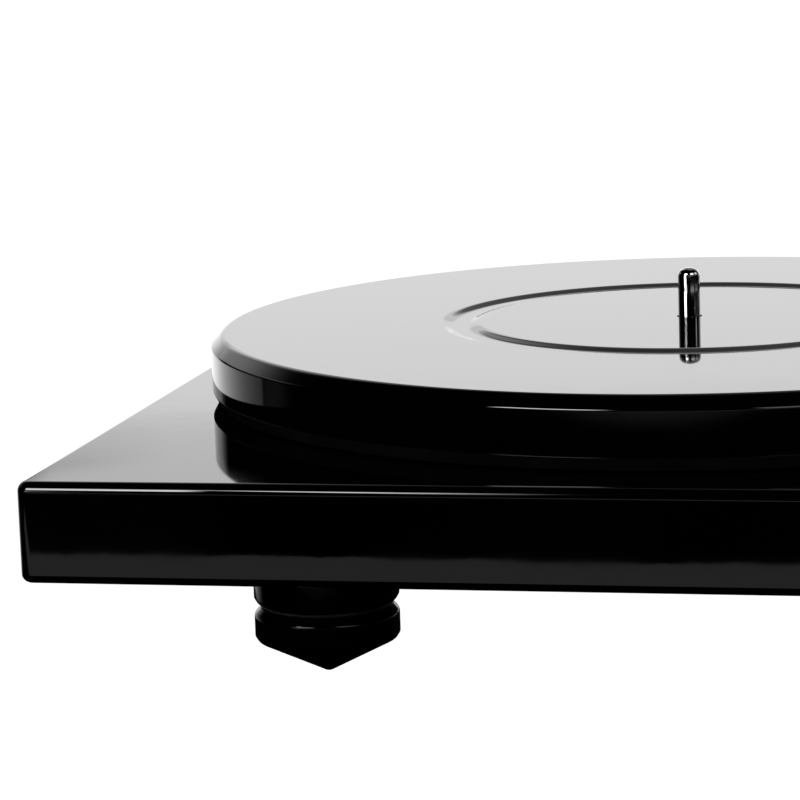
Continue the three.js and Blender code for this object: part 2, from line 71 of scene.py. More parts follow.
# ------------------------------------------------------------------ outlines
def fillets(points, closed=False, step=10.0):
    """Corners given as (x, y, radius) become arcs; (x, y) stays sharp."""
    out, n = [], len(points)
    for i, p in enumerate(points):
        r = p[2] if len(p) > 2 else 0
        if r <= 0 or (not closed and i in (0, n - 1)):
            out.append((p[0], p[1]))
            continue
        a, b, c = (Vector(points[(i + k) % n][:2]) for k in (-1, 0, 1))
        u, w = a - b, c - b
        lu, lw = u.length, w.length
        u, w = u / lu, w / lw
        ang = u.angle(w)
        if ang > 3.12:
            out.append((b.x, b.y))
            continue
        t = min(r / math.tan(ang / 2), 0.49 * lu, 0.49 * lw)
        rr = t * math.tan(ang / 2)
        cen = b + (u + w).normalized() * (rr / math.sin(ang / 2))
        p0, p1 = b + u * t, b + w * t
        a0 = math.atan2(p0.y - cen.y, p0.x - cen.x)
        a1 = math.atan2(p1.y - cen.y, p1.x - cen.x)
        da = (a1 - a0 + math.pi) % (2 * math.pi) - math.pi
        k = max(2, math.ceil(abs(math.degrees(da)) / step))
        for j in range(k + 1):
            t_ = a0 + da * j / k
            out.append((cen.x + rr * math.cos(t_), cen.y + rr * math.sin(t_)))
    return out


def rect(x0, x1, y0, y1, r=0.0, step=9.0):
    pts = [(x0, y0, r), (x1, y0, r), (x1, y1, r), (x0, y1, r)]
    return fillets(pts, True, step)


def circle(r, n=64, x=0.0, y=0.0):
    return [(x + r * math.cos(2 * math.pi * i / n), y + r * math.sin(2 * math.pi * i / n)) for i in range(n)]


def offset(outline, d):
    """The closed outline (anticlockwise) moved inwards by d."""
    n, out = len(outline), []
    for i in range(n):
        a, b, c = (Vector(outline[(i + k) % n]) for k in (-1, 0, 1))
        e0, e1 = (b - a).normalized(), (c - b).normalized()
        n0, n1 = Vector((-e0.y, e0.x)), Vector((-e1.y, e1.x))
        m = (n0 + n1) / max(0.25, 1 + n0.dot(n1))
        q = b + m * d
        out.append((q.x, q.y))
    return out


# ------------------------------------------------------------------ solids
def lathe(points, seg=96, step=10.0, flutes=None):
    """Turned solid about Z from (radius, z[, fillet]) points. flutes is
    (count, depth, smallest radius, z0, z1): grooves cut along the outside."""
    pts = fillets(points, closed=points[0][0] > 1e-9, step=step)
    bm = bmesh.new()
    rings = []
    for r, z in pts:
        if r < 1e-6:
            rings.append([bm.verts.new((0, 0, z))])
        else:
            ring = []
            for k in range(seg):
                a, q = 2 * math.pi * k / seg, r
                if flutes and r >= flutes[2] and flutes[3] - 1e-6 <= z <= flutes[4] + 1e-6:
                    q -= flutes[1] * (0.5 - 0.5 * math.cos(flutes[0] * a))
                ring.append(bm.verts.new((q * math.cos(a), q * math.sin(a), z)))
            rings.append(ring)
    pairs = list(zip(rings, rings[1:]))
    if pts[0][0] > 1e-6:
        pairs.append((rings[-1], rings[0]))
    for a, b in pairs:
        if len(a) == 1 and len(b) == 1:
            continue
        for k in range(seg):
            k1 = (k + 1) % seg
            if len(a) == 1:
                bm.faces.new((a[0], b[k1], b[k]))
            elif len(b) == 1:
                bm.faces.new((a[k], a[k1], b[0]))
            else:
                bm.faces.new((a[k], a[k1], b[k1], b[k]))
    bmesh.ops.recalc_face_normals(bm, faces=bm.faces)
    return bm


def prism(outline, z0, z1, edge=0.0, low=None, steps=4):
    """Upright solid on a closed outline; edge and low round the top and bottom rims."""
    low = edge if low is None else low
    levels = []
    if low > 0:
        levels += [(low * (1 - math.sin(math.pi / 2 * k / steps)), z0 + low * (1 - math.cos(math.pi / 2 * k / steps))) for k in range(steps)]
    levels.append((0.0, z0 + low))
    if edge > 0:
        levels.append((0.0, z1 - edge))
        levels += [(edge * (1 - math.cos(math.pi / 2 * k / steps)), z1 - edge * (1 - math.sin(math.pi / 2 * k / steps))) for k in range(1, steps + 1)]
    else:
        levels.append((0.0, z1))
    bm = bmesh.new()
    rings = []
    for d, z in levels:
        ring = offset(outline, d) if d > 1e-9 else outline
        rings.append([bm.verts.new((x, y, z)) for x, y in ring])
    n = len(outline)
    for a, b in zip(rings, rings[1:]):
        for k in range(n):
            k1 = (k + 1) % n
            bm.faces.new((a[k], a[k1], b[k1], b[k]))
    bm.faces.new(rings[0][::-1])
    bm.faces.new(rings[-1])
    bmesh.ops.recalc_face_normals(bm, faces=bm.faces)
    return bm


def slab(x0, x1, y0, y1, z0, z1, edge=0.3, r=None):
    r = 1.5 * edge if r is None else r
    return prism(rect(x0, x1, y0, y1, r), z0, z1, edge, steps=3)


def sweep(path, radius, seg=16, cap=True):
    """Round bar along a list of points; radius is a number or one per point."""
    pts = [Vector(p) for p in path]
    n = len(pts)
    rad = [radius] * n if isinstance(radius, (int, float)) else radius
    bm, rings = bmesh.new(), []
    tan = [(pts[min(i + 1, n - 1)] - pts[max(i - 1, 0)]).normalized() for i in range(n)]
    side = tan[0].orthogonal().normalized()
    for i in range(n):
        side = (side - tan[i] * side.dot(tan[i])).normalized()
        up = tan[i].cross(side)
        rings.append([bm.verts.new(pts[i] + (side * math.cos(2 * math.pi * k / seg) + up * math.sin(2 * math.pi * k / seg)) * rad[i]) for k in range(seg)])
    for a, b in zip(rings, rings[1:]):
        for k in range(seg):
            k1 = (k + 1) % seg
            bm.faces.new((a[k], a[k1], b[k1], b[k]))
    if cap:
        bm.faces.new(rings[0][::-1])
        bm.faces.new(rings[-1])
    bmesh.ops.recalc_face_normals(bm, faces=bm.faces)
    return bm


def moved(bm, x=0.0, y=0.0, z=0.0, turn=0.0):
    bmesh.ops.transform(bm, matrix=Matrix.Translation((x, y, z)) @ Matrix.Rotation(turn, 4, "Z"), verts=bm.verts)
    return bm


def along_y(bm):
    """Local +Z is laid along +Y."""
    bmesh.ops.transform(bm, matrix=Matrix.Rotation(-math.pi / 2, 4, "X"), verts=bm.verts)
    return bm


def along_x(bm):
    """Local +Z is laid along +X."""
    bmesh.ops.transform(bm, matrix=Matrix.Rotation(math.pi / 2, 4, "Y"), verts=bm.verts)
    return bm


def merged(*parts):
    out = bmesh.new()
    for p in parts:
        me = bpy.data.meshes.new("tmp")
        p.to_mesh(me)
        out.from_mesh(me)
        bpy.data.meshes.remove(me)
        p.free()
    return out


def _object(bm, name="tmp"):
    me = bpy.data.meshes.new(name)
    bm.to_mesh(me)
    bm.free()
    o = bpy.data.objects.new(name, me)
    scene.collection.objects.link(o)
    return o


def boolean(bm, tools, operation="DIFFERENCE"):
    base = _object(bm)
    for t in tools:
        other = _object(t)
        m = base.modifiers.new("cut", "BOOLEAN")
        m.operation, m.solver, m.object = operation, "EXACT", other
        dg = bpy.context.evaluated_depsgraph_get()
        me = bpy.data.meshes.new_from_object(base.evaluated_get(dg))
        base.modifiers.clear()
        for old, data in ((None, base.data), (other, other.data)):
            if old is None:
                base.data = me
            else:
                bpy.data.objects.remove(old)
            bpy.data.meshes.remove(data)
    out = bmesh.new()
    out.from_mesh(base.data)
    me = base.data
    bpy.data.objects.remove(base)
    bpy.data.meshes.remove(me)
    bmesh.ops.remove_doubles(out, verts=out.verts, dist=2e-4)
    bmesh.ops.dissolve_degenerate(out, edges=out.edges, dist=1e-5)
    return out


def cut(bm, *tools):
    return boolean(bm, tools)


def join(first, *rest):
    return boolean(first, rest, "UNION")


# ------------------------------------------------------------------ materials
class Mat:
    """A small helper for node materials. Patterns read the mesh's own 'local'
    coordinates (metres from the piece's axis), so they ride with it."""

    def __init__(self, name, rough=0.4, metal=0.0, ior=1.5, coat=0.0, coat_rough=0.03, spec=0.5, sheen=0.0):
        self.m = bpy.data.materials.new(name)
        self.m.use_nodes = True
        self.t = self.m.node_tree
        self.t.nodes.clear()
        self.out = self.t.nodes.new("ShaderNodeOutputMaterial")
        self.b = self.t.nodes.new("ShaderNodeBsdfPrincipled")
        self.t.links.new(self.b.outputs[0], self.out.inputs[0])
        b = self.b.inputs
        b["Roughness"].default_value = rough
        b["Metallic"].default_value = metal
        b["IOR"].default_value = ior
        b["Specular IOR Level"].default_value = spec
        b["Coat Weight"].default_value = coat
        b["Coat Roughness"].default_value = coat_rough
        b["Sheen Weight"].default_value = sheen
        a = self.t.nodes.new("ShaderNodeAttribute")
        a.attribute_type, a.attribute_name = "GEOMETRY", "local"
        self.local = a.outputs["Vector"]
        self._turned = None

    def node(self, kind, **props):
        n = self.t.nodes.new(kind)
        for k, v in props.items():
            setattr(n, k, v)
        return n

    def put(self, socket, value):
        if isinstance(value, bpy.types.NodeSocket):
            self.t.links.new(value, socket)
        elif isinstance(value, tuple) and len(value) == 3 and socket.type == "RGBA":
            socket.default_value = (*value, 1)
        else:
            socket.default_value = value

    def math(self, op, a, b=0.0, c=None):
        n = self.node("ShaderNodeMath", operation=op)
        self.put(n.inputs[0], a)
        self.put(n.inputs[1], b)
        if c is not None:
            self.put(n.inputs[2], c)
        return n.outputs[0]

    def scaled(self, vector, factors):
        n = self.node("ShaderNodeVectorMath", operation="MULTIPLY")
        self.put(n.inputs[0], vector)
        n.inputs[1].default_value = factors
        return n.outputs[0]

    def turned(self):
        """(radius, height, 0): the coordinates of a piece cut on a lathe."""
        if self._turned is None:
            s = self.node("ShaderNodeSeparateXYZ")
            self.put(s.inputs[0], self.local)
            r = self.math("SQRT", self.math("ADD", self.math("MULTIPLY", s.outputs[0], s.outputs[0]), self.math("MULTIPLY", s.outputs[1], s.outputs[1])))
            c = self.node("ShaderNodeCombineXYZ")
            self.put(c.inputs[0], r)
            self.put(c.inputs[1], s.outputs[2])
            self._turned = c.outputs[0]
        return self._turned

    def noise(self, scale, detail=2.0, rough=0.5, vector=None, distort=0.0):
        n = self.node("ShaderNodeTexNoise", noise_dimensions="3D")
        self.put(n.inputs["Vector"], self.local if vector is None else vector)
        n.inputs["Scale"].default_value = scale
        n.inputs["Detail"].default_value = detail
        n.inputs["Roughness"].default_value = rough
        n.inputs["Distortion"].default_value = distort
        return n.outputs["Fac"]

    def cells(self, scale, vector=None, feature="F1"):
        n = self.node("ShaderNodeTexVoronoi", feature=feature)
        self.put(n.inputs["Vector"], self.local if vector is None else vector)
        n.inputs["Scale"].default_value = scale
        return n.outputs["Distance"]

    def remap(self, value, lo, hi, a=0.3, b=0.7):
        n = self.node("ShaderNodeMapRange", clamp=True)
        self.put(n.inputs[0], value)
        for i, v in ((1, a), (2, b), (3, lo), (4, hi)):
            n.inputs[i].default_value = v
        return n.outputs[0]

    def mix(self, fac, a, b):
        n = self.node("ShaderNodeMix", data_type="RGBA")
        self.put(n.inputs["Factor"], fac)
        self.put(n.inputs[6], a)
        self.put(n.inputs[7], b)
        return n.outputs[2]

    def color(self, value):
        self.put(self.b.inputs["Base Color"], value)
        return self

    def rough(self, value):
        self.put(self.b.inputs["Roughness"], value)
        return self

    def bump(self, *layers):
        """layers: (height, distance in millimetres)."""
        normal = None
        for height, dist in layers:
            n = self.node("ShaderNodeBump")
            n.inputs["Strength"].default_value = 1.0
            n.inputs["Distance"].default_value = dist * MM
            self.put(n.inputs["Height"], height)
            if normal is not None:
                self.put(n.inputs["Normal"], normal)
            normal = n.outputs[0]
        self.put(self.b.inputs["Normal"], normal)
        return self


def make_materials():
    M = {}
    # poured gloss lacquer on board: deep black, faint orange peel, a little dust
    m = Mat("black_lacquer", rough=0.03, ior=1.47)
    m.color(m.mix(m.remap(m.noise(14, 3), 0, 1), (0.0003, 0.0003, 0.00032), (0.0007, 0.0007, 0.00075)))
    m.rough(m.remap(m.noise(30, 4, 0.6), 0.022, 0.06))
    m.bump((m.noise(190, 1.5), 0.0042), (m.noise(38, 1), 0.012))
    M["black_lacquer"] = m.m
    # machined and polished acrylic
    m = Mat("black_gloss_platter", rough=0.03, ior=1.5)
    m.color(m.mix(m.remap(m.noise(20, 3), 0, 1), (0.0003, 0.0003, 0.00032), (0.0007, 0.0007, 0.00075)))
    m.rough(m.remap(m.noise(45, 4, 0.6), 0.02, 0.05))
    m.bump((m.noise(60, 1.5), 0.003), (m.noise(900, 1, vector=m.turned()), 0.00012))
    M["black_gloss_platter"] = m.m
    # its turned, unpolished underside
    m = Mat("platter_matt", rough=0.55, spec=0.0)
    m.color(m.mix(m.remap(m.noise(60, 3), 0, 1), (0.003, 0.003, 0.0031), (0.005, 0.005, 0.0052)))
    m.rough(m.remap(m.noise(90, 4), 0.5, 0.62))
    m.bump((m.noise(1600, 2, vector=m.turned()), 0.004))
    M["platter_matt"] = m.m
    # polished spindle steel: fine turning lines under the polish
    m = Mat("bright_steel", rough=0.07, metal=1.0)
    m.color(m.mix(m.remap(m.noise(220, 3), 0, 1), (0.58, 0.58, 0.57), (0.68, 0.68, 0.68)))
    m.rough(m.remap(m.noise(900, 2, vector=m.turned()), 0.05, 0.09))
    m.bump((m.noise(1200, 1, vector=m.turned()), 0.0002))
    M["bright_steel"] = m.m
    # turned steel: motor can, shafts, counterweight
    m = Mat("machined_steel", rough=0.25, metal=1.0)
    m.color(m.mix(m.remap(m.noise(160, 4), 0, 1), (0.5, 0.505, 0.515), (0.62, 0.625, 0.635)))
    m.rough(m.remap(m.noise(700, 3, vector=m.turned()), 0.25, 0.31))
    m.bump((m.noise(1100, 2, vector=m.turned()), 0.0005), (m.noise(300, 2), 0.0003))
    M["machined_steel"] = m.m
    # zinc plate with its spangle
    m = Mat("zinc_steel", rough=0.35, metal=1.0)
    m.color(m.mix(m.remap(m.cells(520), 0, 1, 0.1, 0.7), (0.44, 0.45, 0.47), (0.6, 0.61, 0.62)))
    m.rough(m.remap(m.noise(300, 4), 0.28, 0.46))
    m.bump((m.noise(900, 3), 0.003))
    M["zinc_steel"] = m.m
    # powder coat on the underside cover
    m = Mat("coated_steel", rough=0.5, spec=0.5)
    m.color(m.mix(m.remap(m.noise(90, 4), 0, 1), (0.018, 0.018, 0.019), (0.032, 0.032, 0.034)))
    m.rough(m.remap(m.noise(240, 3), 0.42, 0.6))
    m.bump((m.noise(1500, 2), 0.03), (m.noise(500, 2), 0.02))
    M["coated_steel"] = m.m
    # satin anodised aluminium, turned
    m = Mat("satin_aluminium", rough=0.28, metal=1.0)
    m.color(m.mix(m.remap(m.noise(400, 3, vector=m.turned()), 0, 1), (0.72, 0.725, 0.735), (0.8, 0.805, 0.815)))
    m.rough(m.remap(m.noise(500, 3, vector=m.turned()), 0.29, 0.32))
    m.bump((m.noise(900, 2, vector=m.turned()), 0.00015))
    M["satin_aluminium"] = m.m
    # bead-blasted, black anodised aluminium
    m = Mat("black_anodised", rough=0.32, metal=0.0, ior=1.6, coat=0.15, coat_rough=0.12)
    m.color(m.mix(m.remap(m.noise(260, 4), 0, 1), (0.02, 0.02, 0.0215), (0.034, 0.034, 0.036)))
    m.rough(m.remap(m.noise(1400, 3), 0.26, 0.42))
    m.bump((m.noise(2600, 2), 0.0016), (m.noise(400, 2), 0.002))
    M["black_anodised"] = m.m
    m = Mat("brass", rough=0.22, metal=1.0)
    m.color(m.mix(m.remap(m.noise(320, 4), 0, 1), (0.6, 0.42, 0.16), (0.78, 0.57, 0.25)))
    m.rough(m.remap(m.noise(1200, 3, vector=m.turned()), 0.14, 0.3))
    m.bump((m.noise(1200, 2, vector=m.turned()), 0.001))
    M["brass"] = m.m
    m = Mat("bronze", rough=0.38, metal=1.0)
    m.color(m.mix(m.remap(m.noise(500, 4), 0, 1), (0.3, 0.18, 0.085), (0.46, 0.29, 0.14)))
    m.rough(m.remap(m.noise(1600, 3), 0.3, 0.5))
    m.bump((m.cells(2600), 0.006))
    M["bronze"] = m.m
    # gloss black feet: turned, painted
    m = Mat("foot_black", rough=0.09, ior=1.48, spec=0.2)
    m.color(m.mix(m.remap(m.noise(80, 3), 0, 1), (0.0004, 0.0004, 0.00045), (0.0009, 0.0009, 0.001)))
    m.rough(m.remap(m.noise(220, 3), 0.07, 0.14))
    m.bump((m.noise(500, 1.5, vector=m.turned()), 0.0012), (m.noise(300, 1), 0.003))
    M["foot_black"] = m.m
    for name, base, hi in (("damper_rubber", 0.008, 0.016), ("belt_rubber", 0.012, 0.022), ("cable_rubber", 0.012, 0.02)):
        m = Mat(name, rough=0.75, spec=0.35, sheen=0.15)
        m.color(m.mix(m.remap(m.noise(260, 4), 0, 1), (base, base, base), (hi, hi, hi * 1.04)))
        m.rough(m.remap(m.noise(700, 3), 0.66, 0.86))
        m.bump((m.noise(3000, 2), 0.008), (m.noise(600, 2), 0.01))
        M[name] = m.m
    # moulded plastics: spark-eroded grain
    for name, a, b, r0, r1 in (("black_plastic", 0.012, 0.02, 0.36, 0.5), ("sub_platter_plastic", 0.014, 0.024, 0.42, 0.56)):
        m = Mat(name, rough=0.45)
        m.color(m.mix(m.remap(m.noise(120, 4), 0, 1), (a, a, a * 1.04), (b, b, b * 1.05)))
        m.rough(m.remap(m.noise(500, 3), r0, r1))
        m.bump((m.cells(2200), 0.008), (m.noise(900, 3), 0.008))
        M[name] = m.m
    # circuit board: green solder resist over copper tracks
    m = Mat("circuit_board", rough=0.35)
    tracks = m.remap(m.noise(240, 0, vector=m.scaled(m.local, (1, 0.22, 1))), 0, 1, 0.48, 0.52)
    m.color(m.mix(tracks, (0.008, 0.055, 0.022), (0.016, 0.105, 0.042)))
    m.rough(m.remap(m.noise(500, 3), 0.26, 0.44))
    m.bump((tracks, 0.03), (m.noise(2500, 2), 0.004))
    M["circuit_board"] = m.m
    return M


MATERIAL = make_materials()


def place(x=0.0, y=0.0, z=0.0, turn=0.0):
    return Matrix.Translation((x, y, z)) @ Matrix.Rotation(turn, 4, "Z")


def piece(node, bm, body, slot, at=None, bevel=0.0, seg=3, sharp=32.0, material=None, suffix="fine", axis="z"):
    """One visible piece: a mesh in millimetres about its own axis, put in place,
    scaled to metres, and standing for its CAD node."""
    me = bpy.data.meshes.new(f"{node}_{suffix}")
    bmesh.ops.remove_doubles(bm, verts=bm.verts, dist=1e-5)
    bm.to_mesh(me)
    bm.free()
    local = me.attributes.new("local", "FLOAT_VECTOR", "POINT")
    order = {"z": (0, 1, 2), "y": (2, 0, 1), "x": (1, 2, 0)}[axis]
    co = [v.co[k] * MM for v in me.vertices for k in order]
    local.data.foreach_set("vector", co)
    me.transform(Matrix.Scale(MM, 4) @ (at or Matrix.Identity(4)))
    for p in me.polygons:
        p.use_smooth = True
    me.set_sharp_from_angle(angle=math.radians(sharp))
    me.materials.append(MATERIAL[material or slot])
    o = bpy.data.objects.new(f"{node}_{suffix}", me)
    scene.collection.objects.link(o)
    if bevel > 0:
        b = o.modifiers.new("edges", "BEVEL")
        b.limit_method, b.angle_limit = "ANGLE", math.radians(sharp)
        b.width, b.segments = bevel * MM, seg
        b.use_clamp_overlap, b.miter_outer = True, "MITER_ARC"
        b.harden_normals = False
    w = o.modifiers.new("normals", "WEIGHTED_NORMAL")
    w.keep_sharp, w.weight, w.mode = True, 50, "FACE_AREA"
    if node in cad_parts:
        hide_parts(node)
    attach(o, body)
    return o


# ------------------------------------------------------------------ plinth
DECK = place(0, 0, ZT)
RECESS = U + 2.1
BASE_SCREWS = [(-157, -104), (207, -104), (-157, 104), (207, 160)]
LEAD = [(-100.6, 57.1), (100, 57.1), (150, 6), (187, -50)]


def l_shape(g, r=2.0):
    return fillets([(-165 + g, -112 + g, r), (215 - g, -112 + g, r), (215 - g, 168 - g, r), (95 + g, 168 - g, r), (95 + g, 112 - g, r), (-165 + g, 112 - g, r)], True)


def drill(r, z0, z1, x=0.0, y=0.0, n=48):
    return moved(prism(circle(r, n), z0, z1), x, y)


def build_plinth():
    body = prism(rect(-225, 225, -172.5, 172.5, 4.0, 5.0), U, 0, 3.0, 2.6, steps=9)
    tools = [
        prism(l_shape(0), U - 1, RECESS),
        drill(12.3, U - 1, 1, PX, PY, 72), drill(20.5, U - 1, -20, PX, PY, 72),
        drill(20, U - 1, 1, MOTOR_X, MOTOR_Y, 72),
        prism(rect(178, 220, -94, -50, 2), U - 1, -9),
        drill(BTN_R + 0.4, -10, 1, BTN_X, BTN_Y1), drill(BTN_R + 0.4, -10, 1, BTN_X, BTN_Y2),
        drill(9.3, -23, 1, ARM_X, ARM_Y, 64),
        prism(rect(113, 157, 160.9, 180, 1.2), -23, -5),
        prism(rect(117, 153, 140, 162, 1.2), U - 1, -7),
        moved(along_y(prism(circle(6.6, 56), 145, 180)), 185, 0, -14),
        drill(3, U - 1, -14, 185, 148, 32),
    ]
    for s in (-1, 1):
        a = MOTOR_ANG + s * math.pi / 2
        tools.append(drill(1.8, -13, 1, MOTOR_X + 23 * math.cos(a), MOTOR_Y + 23 * math.sin(a), 24))
    for x, y in BASE_SCREWS:
        tools.append(drill(1.8, U - 1, -15, x, y, 24))
    for _, x, y in FEET:
        tools.append(drill(4.3, U - 1, U + 17.8, x, y, 40))
    for (x0, y0), (x1, y1) in zip(LEAD, LEAD[1:]):
        length = math.hypot(x1 - x0, y1 - y0)
        tools.append(moved(prism(rect(-3, length + 3, -4.5, 4.5, 1.5), U - 1, RECESS + 5), x0, y0, 0, math.atan2(y1 - y0, x1 - x0)))
    return cut(body, *tools)


piece("plinth", build_plinth(), "root", "black_lacquer", DECK)

# ------------------------------------------------------------------ platter
def groove_profile():
    """Shallow ring groove with soft shoulders."""
    pts, width = [], 5.7
    for i in range(0, 25):
        t = i / 24
        pts.append((GROOVE_R1 + 1.2 - width * t, PLATTER_TOP - GROOVE_D * (t * t * t * (t * (6 * t - 15) + 10))))
    for i in range(0, 25):
        t = 1 - i / 24
        pts.append((GROOVE_R2 - 1.2 + width * t, PLATTER_TOP - GROOVE_D * (t * t * t * (t * (6 * t - 15) + 10))))
    return pts


platter_pts = [
    (SPINDLE_R + 0.3, 13.0, 0.3), (108.0, 13.0), (110.0, 11.0, 0.6), (110.0, PLATTER_LOW, 0.4),
    (PLATTER_R - 2.1, PLATTER_LOW, 0.3), (PLATTER_R, PLATTER_LOW + 3.8, 0.6),
    (PLATTER_R, PLATTER_TOP - BEVEL, 1.1), (PLATTER_R - BEVEL, PLATTER_TOP, 3.0),
    *groove_profile(), (SPINDLE_R + 0.3, PLATTER_TOP, 0.25),
]
TURNING = place(PX, PY, ZT)
platter = piece("platter", lathe(platter_pts, 288, 7.0), "platter_assembly", "black_gloss_platter", TURNING)
platter.data.materials.append(MATERIAL["platter_matt"])
for f in platter.data.polygons:  # the lower bevel, underside and well are left matt
    c = f.center
    if c.z < (ZT + 4.38) * MM or (c.z < (ZT + 13.05) * MM and math.hypot(c.x - PX * MM, c.y - PY * MM) < 111 * MM):
        f.material_index = 1

tip = PLATTER_TOP + SPINDLE_UP
spindle_pts = [
    (0, -14.1), (4.2, -14.1), (5, -13.3), (5, 12.4, 0.3), (SPINDLE_R, 12.4, 0.2), (SPINDLE_R, PLATTER_TOP - 0.4), (SPINDLE_R - 0.15, PLATTER_TOP - 0.1), (SPINDLE_R - 0.15, tip - 2.3),
    *[(SPINDLE_R - 2.15 + 2.0 * math.cos(math.radians(a)), tip - 2.3 + 2.0 * math.sin(math.radians(a))) for a in range(8, 80, 8)],
    (1.1, tip - 0.06), (0, tip),
]
piece("spindle_shaft", lathe(spindle_pts, 72), "platter_assembly", "bright_steel", TURNING)

# ------------------------------------------------------------------ feet
for tag, x, y in FEET:
    at = place(x, y, 0)
    piece(f"foot_cone_{tag}", lathe([(0, 0), (1, 0, 0.4), (19.6, 9.55, 1.4), (FOOT_R, 10.8, 0.6), (FOOT_R, 16.9, 1.6), (18.6, 18.9, 0.4), (0, 18.9)], 144, 6.0), f"foot_{tag}", "foot_black", at)
    piece(f"foot_damper_{tag}", lathe([(0, 19.2), (18.2, 19.2, 0.1), (18.2, 19.6, 0.1), (0, 19.6)], 96), f"foot_{tag}", "damper_rubber", at)
    piece(f"foot_upper_{tag}", lathe([(0, 19.9), (18.5, 19.9, 0.4), (19.7, 20.6, 0.6), (FOOT_R, 21.8, 0.6), (FOOT_R, 29.2, 0.6), (19.8, 29.9, 0.3), (4, 29.9, 0.2), (4, 42.4), (3.2, 43.2), (0, 43.2)], 144, 6.0), f"foot_{tag}", "foot_black", at)

# ------------------------------------------------------------------ underside
def cross(half, width, z0, z1):
    """Cross recess of a screw head, as two cutters."""
    return slab(-half, half, -width / 2, width / 2, z0, z1, 0.05), slab(-width / 2, width / 2, -half, half, z0, z1, 0.05)


def thread(r, z0, z1, pitch=0.7, depth=0.18):
    """Profile points of a rolled thread, from z0 to z1."""
    pts, n = [], max(1, int(abs(z1 - z0) / pitch))
    for i in range(n + 1):
        z = z0 + (z1 - z0) * i / n
        pts.append((r, z))
        if i < n:
            pts.append((r - depth, z + (z1 - z0) / n / 2))
    return pts


plate_tools = [drill(3.3, U, U + 3, x, y, 40) for x, y in BASE_SCREWS]
plate_tools += [prism(rect(-52 + 9 * k, -48 + 9 * k, -70, -46, 2.0, 15), U - 1, U + 0.75) for k in range(11)]
plate_tools += [prism(rect(-52 + 9 * k, -48 + 9 * k, 66, 90, 2.0, 15), U - 1, U + 0.75) for k in range(11)]
piece("base_plate", cut(prism(l_shape(0.3), U + 0.2, U + 1.8, 0.2, 0.35, steps=3), *plate_tools), "root", "coated_steel", DECK)
for i, (x, y) in enumerate(BASE_SCREWS):
    screw = cut(lathe([(0, U + 0.2), (3, U + 0.2, 0.35), (3, U + 1.0, 0.15), (1.5, U + 2.4), *thread(1.5, U + 3.0, -17), (0.9, -16), (0, -16)], 40), *cross(1.9, 0.7, U, U + 1.15))
    piece(f"base_screw_{i + 1}", screw, "root", "zinc_steel", place(x, y, ZT))

# ------------------------------------------------------------------ main bearing
piece("bearing_housing", lathe([(8.3, -24, 0.3), (12, -24, 0.6), (12, 0.3, 0.4), (19, 0.3, 0.3), (20, 1.3, 0.2), (20, 1.9, 0.3), (19, 2.8, 0.3), (14.5, 2.8), (14.3, 2.5), (13.7, 2.5), (13.5, 2.8), (8.3, 2.8, 0.4)], 96), "root", "satin_aluminium", TURNING)
nut_slots = []
for k in range(4):
    nut_slots.append(moved(slab(15.6, 20, -1.5, 1.5, -25, -22.6, 0.1), turn=math.pi / 2 * k))
piece("bearing_ring_nut", cut(lathe([(12.3, -24.3, 0.3), (18.5, -24.3, 0.5), (18.5, -20.3, 0.5), (12.3, -20.3, 0.3)], 96), *nut_slots), "root", "machined_steel", TURNING)
piece("bearing_end_cap", cut(lathe([(0, -26.2), (11.2, -26.2, 0.4), (12, -25.4, 0.2), (12, -24.3), (8, -24.3, 0.2), (8, -22.3, 0.3), (0, -22.3)], 80), slab(-6, 6, -0.6, 0.6, -27, -25.3, 0.1)), "root", "brass", TURNING)
piece("thrust_pad", lathe([(0, -22), (7.5, -22, 0.4), (7.5, -19.7, 0.5), (1.2, -19.7, 0.3), (0, -19.78)], 72), "root", "black_plastic", TURNING)
piece("thrust_ball", lathe([(2.5 * math.cos(math.radians(a)) if abs(a) < 90 else 0.0, -16.9 + 2.5 * math.sin(math.radians(a))) for a in range(-90, 91, 6)], 48), "root", "bright_steel", TURNING, sharp=60)
piece("bearing_bush", lathe([(5.3, -13.5, 0.3), (8, -13.5, 0.4), (8, 2.5, 0.4), (5.3, 2.5, 0.3), (5.3, 0.2), (5.55, -0.1), (5.55, -0.9), (5.3, -1.2), (5.3, -9.8), (5.55, -10.1), (5.55, -10.9), (5.3, -11.2)], 80), "root", "bronze", TURNING)

# ------------------------------------------------------------------ sub-platter and belt
sub = lathe([
    (5.3, 3.3, 0.3), (13, 3.3, 0.5), (13, 8.2, 0.6), (56, 8.2, 0.6), (56, 4.4, 0.3), (SUB_FLANGE, 4.4, 0.2), (SUB_FLANGE, 5.4), (SUB_R, 5.6),
    (SUB_R + 0.12, 8.4), (SUB_R, 11.3), (SUB_FLANGE, 11.5), (SUB_FLANGE, 12.7, 0.2), (52, 12.7), (51.7, 12.4), (50.3, 12.4), (50, 12.7), (5.3, 12.7, 0.3),
], 160)
piece("sub_platter", cut(sub, *[drill(9, 7, 14, 36 * math.cos(k * math.pi / 3), 36 * math.sin(k * math.pi / 3), 48) for k in range(6)]), "platter_assembly", "sub_platter_plastic", TURNING)


def belt_line(grow, n1=150, n2=40):
    r1, r2 = SUB_R + 0.3 + grow, 8.3 + grow
    phi = math.acos((r1 - r2) / MOTOR_D)
    pts = []
    for i in range(n1 + 1):
        t = MOTOR_ANG + phi + (2 * math.pi - 2 * phi) * i / n1
        pts.append((r1 * math.cos(t), r1 * math.sin(t)))
    for i in range(n2 + 1):
        t = MOTOR_ANG - phi + 2 * phi * i / n2
        pts.append((MOTOR_D * math.cos(MOTOR_ANG) + r2 * math.cos(t), MOTOR_D * math.sin(MOTOR_ANG) + r2 * math.sin(t)))
    return pts


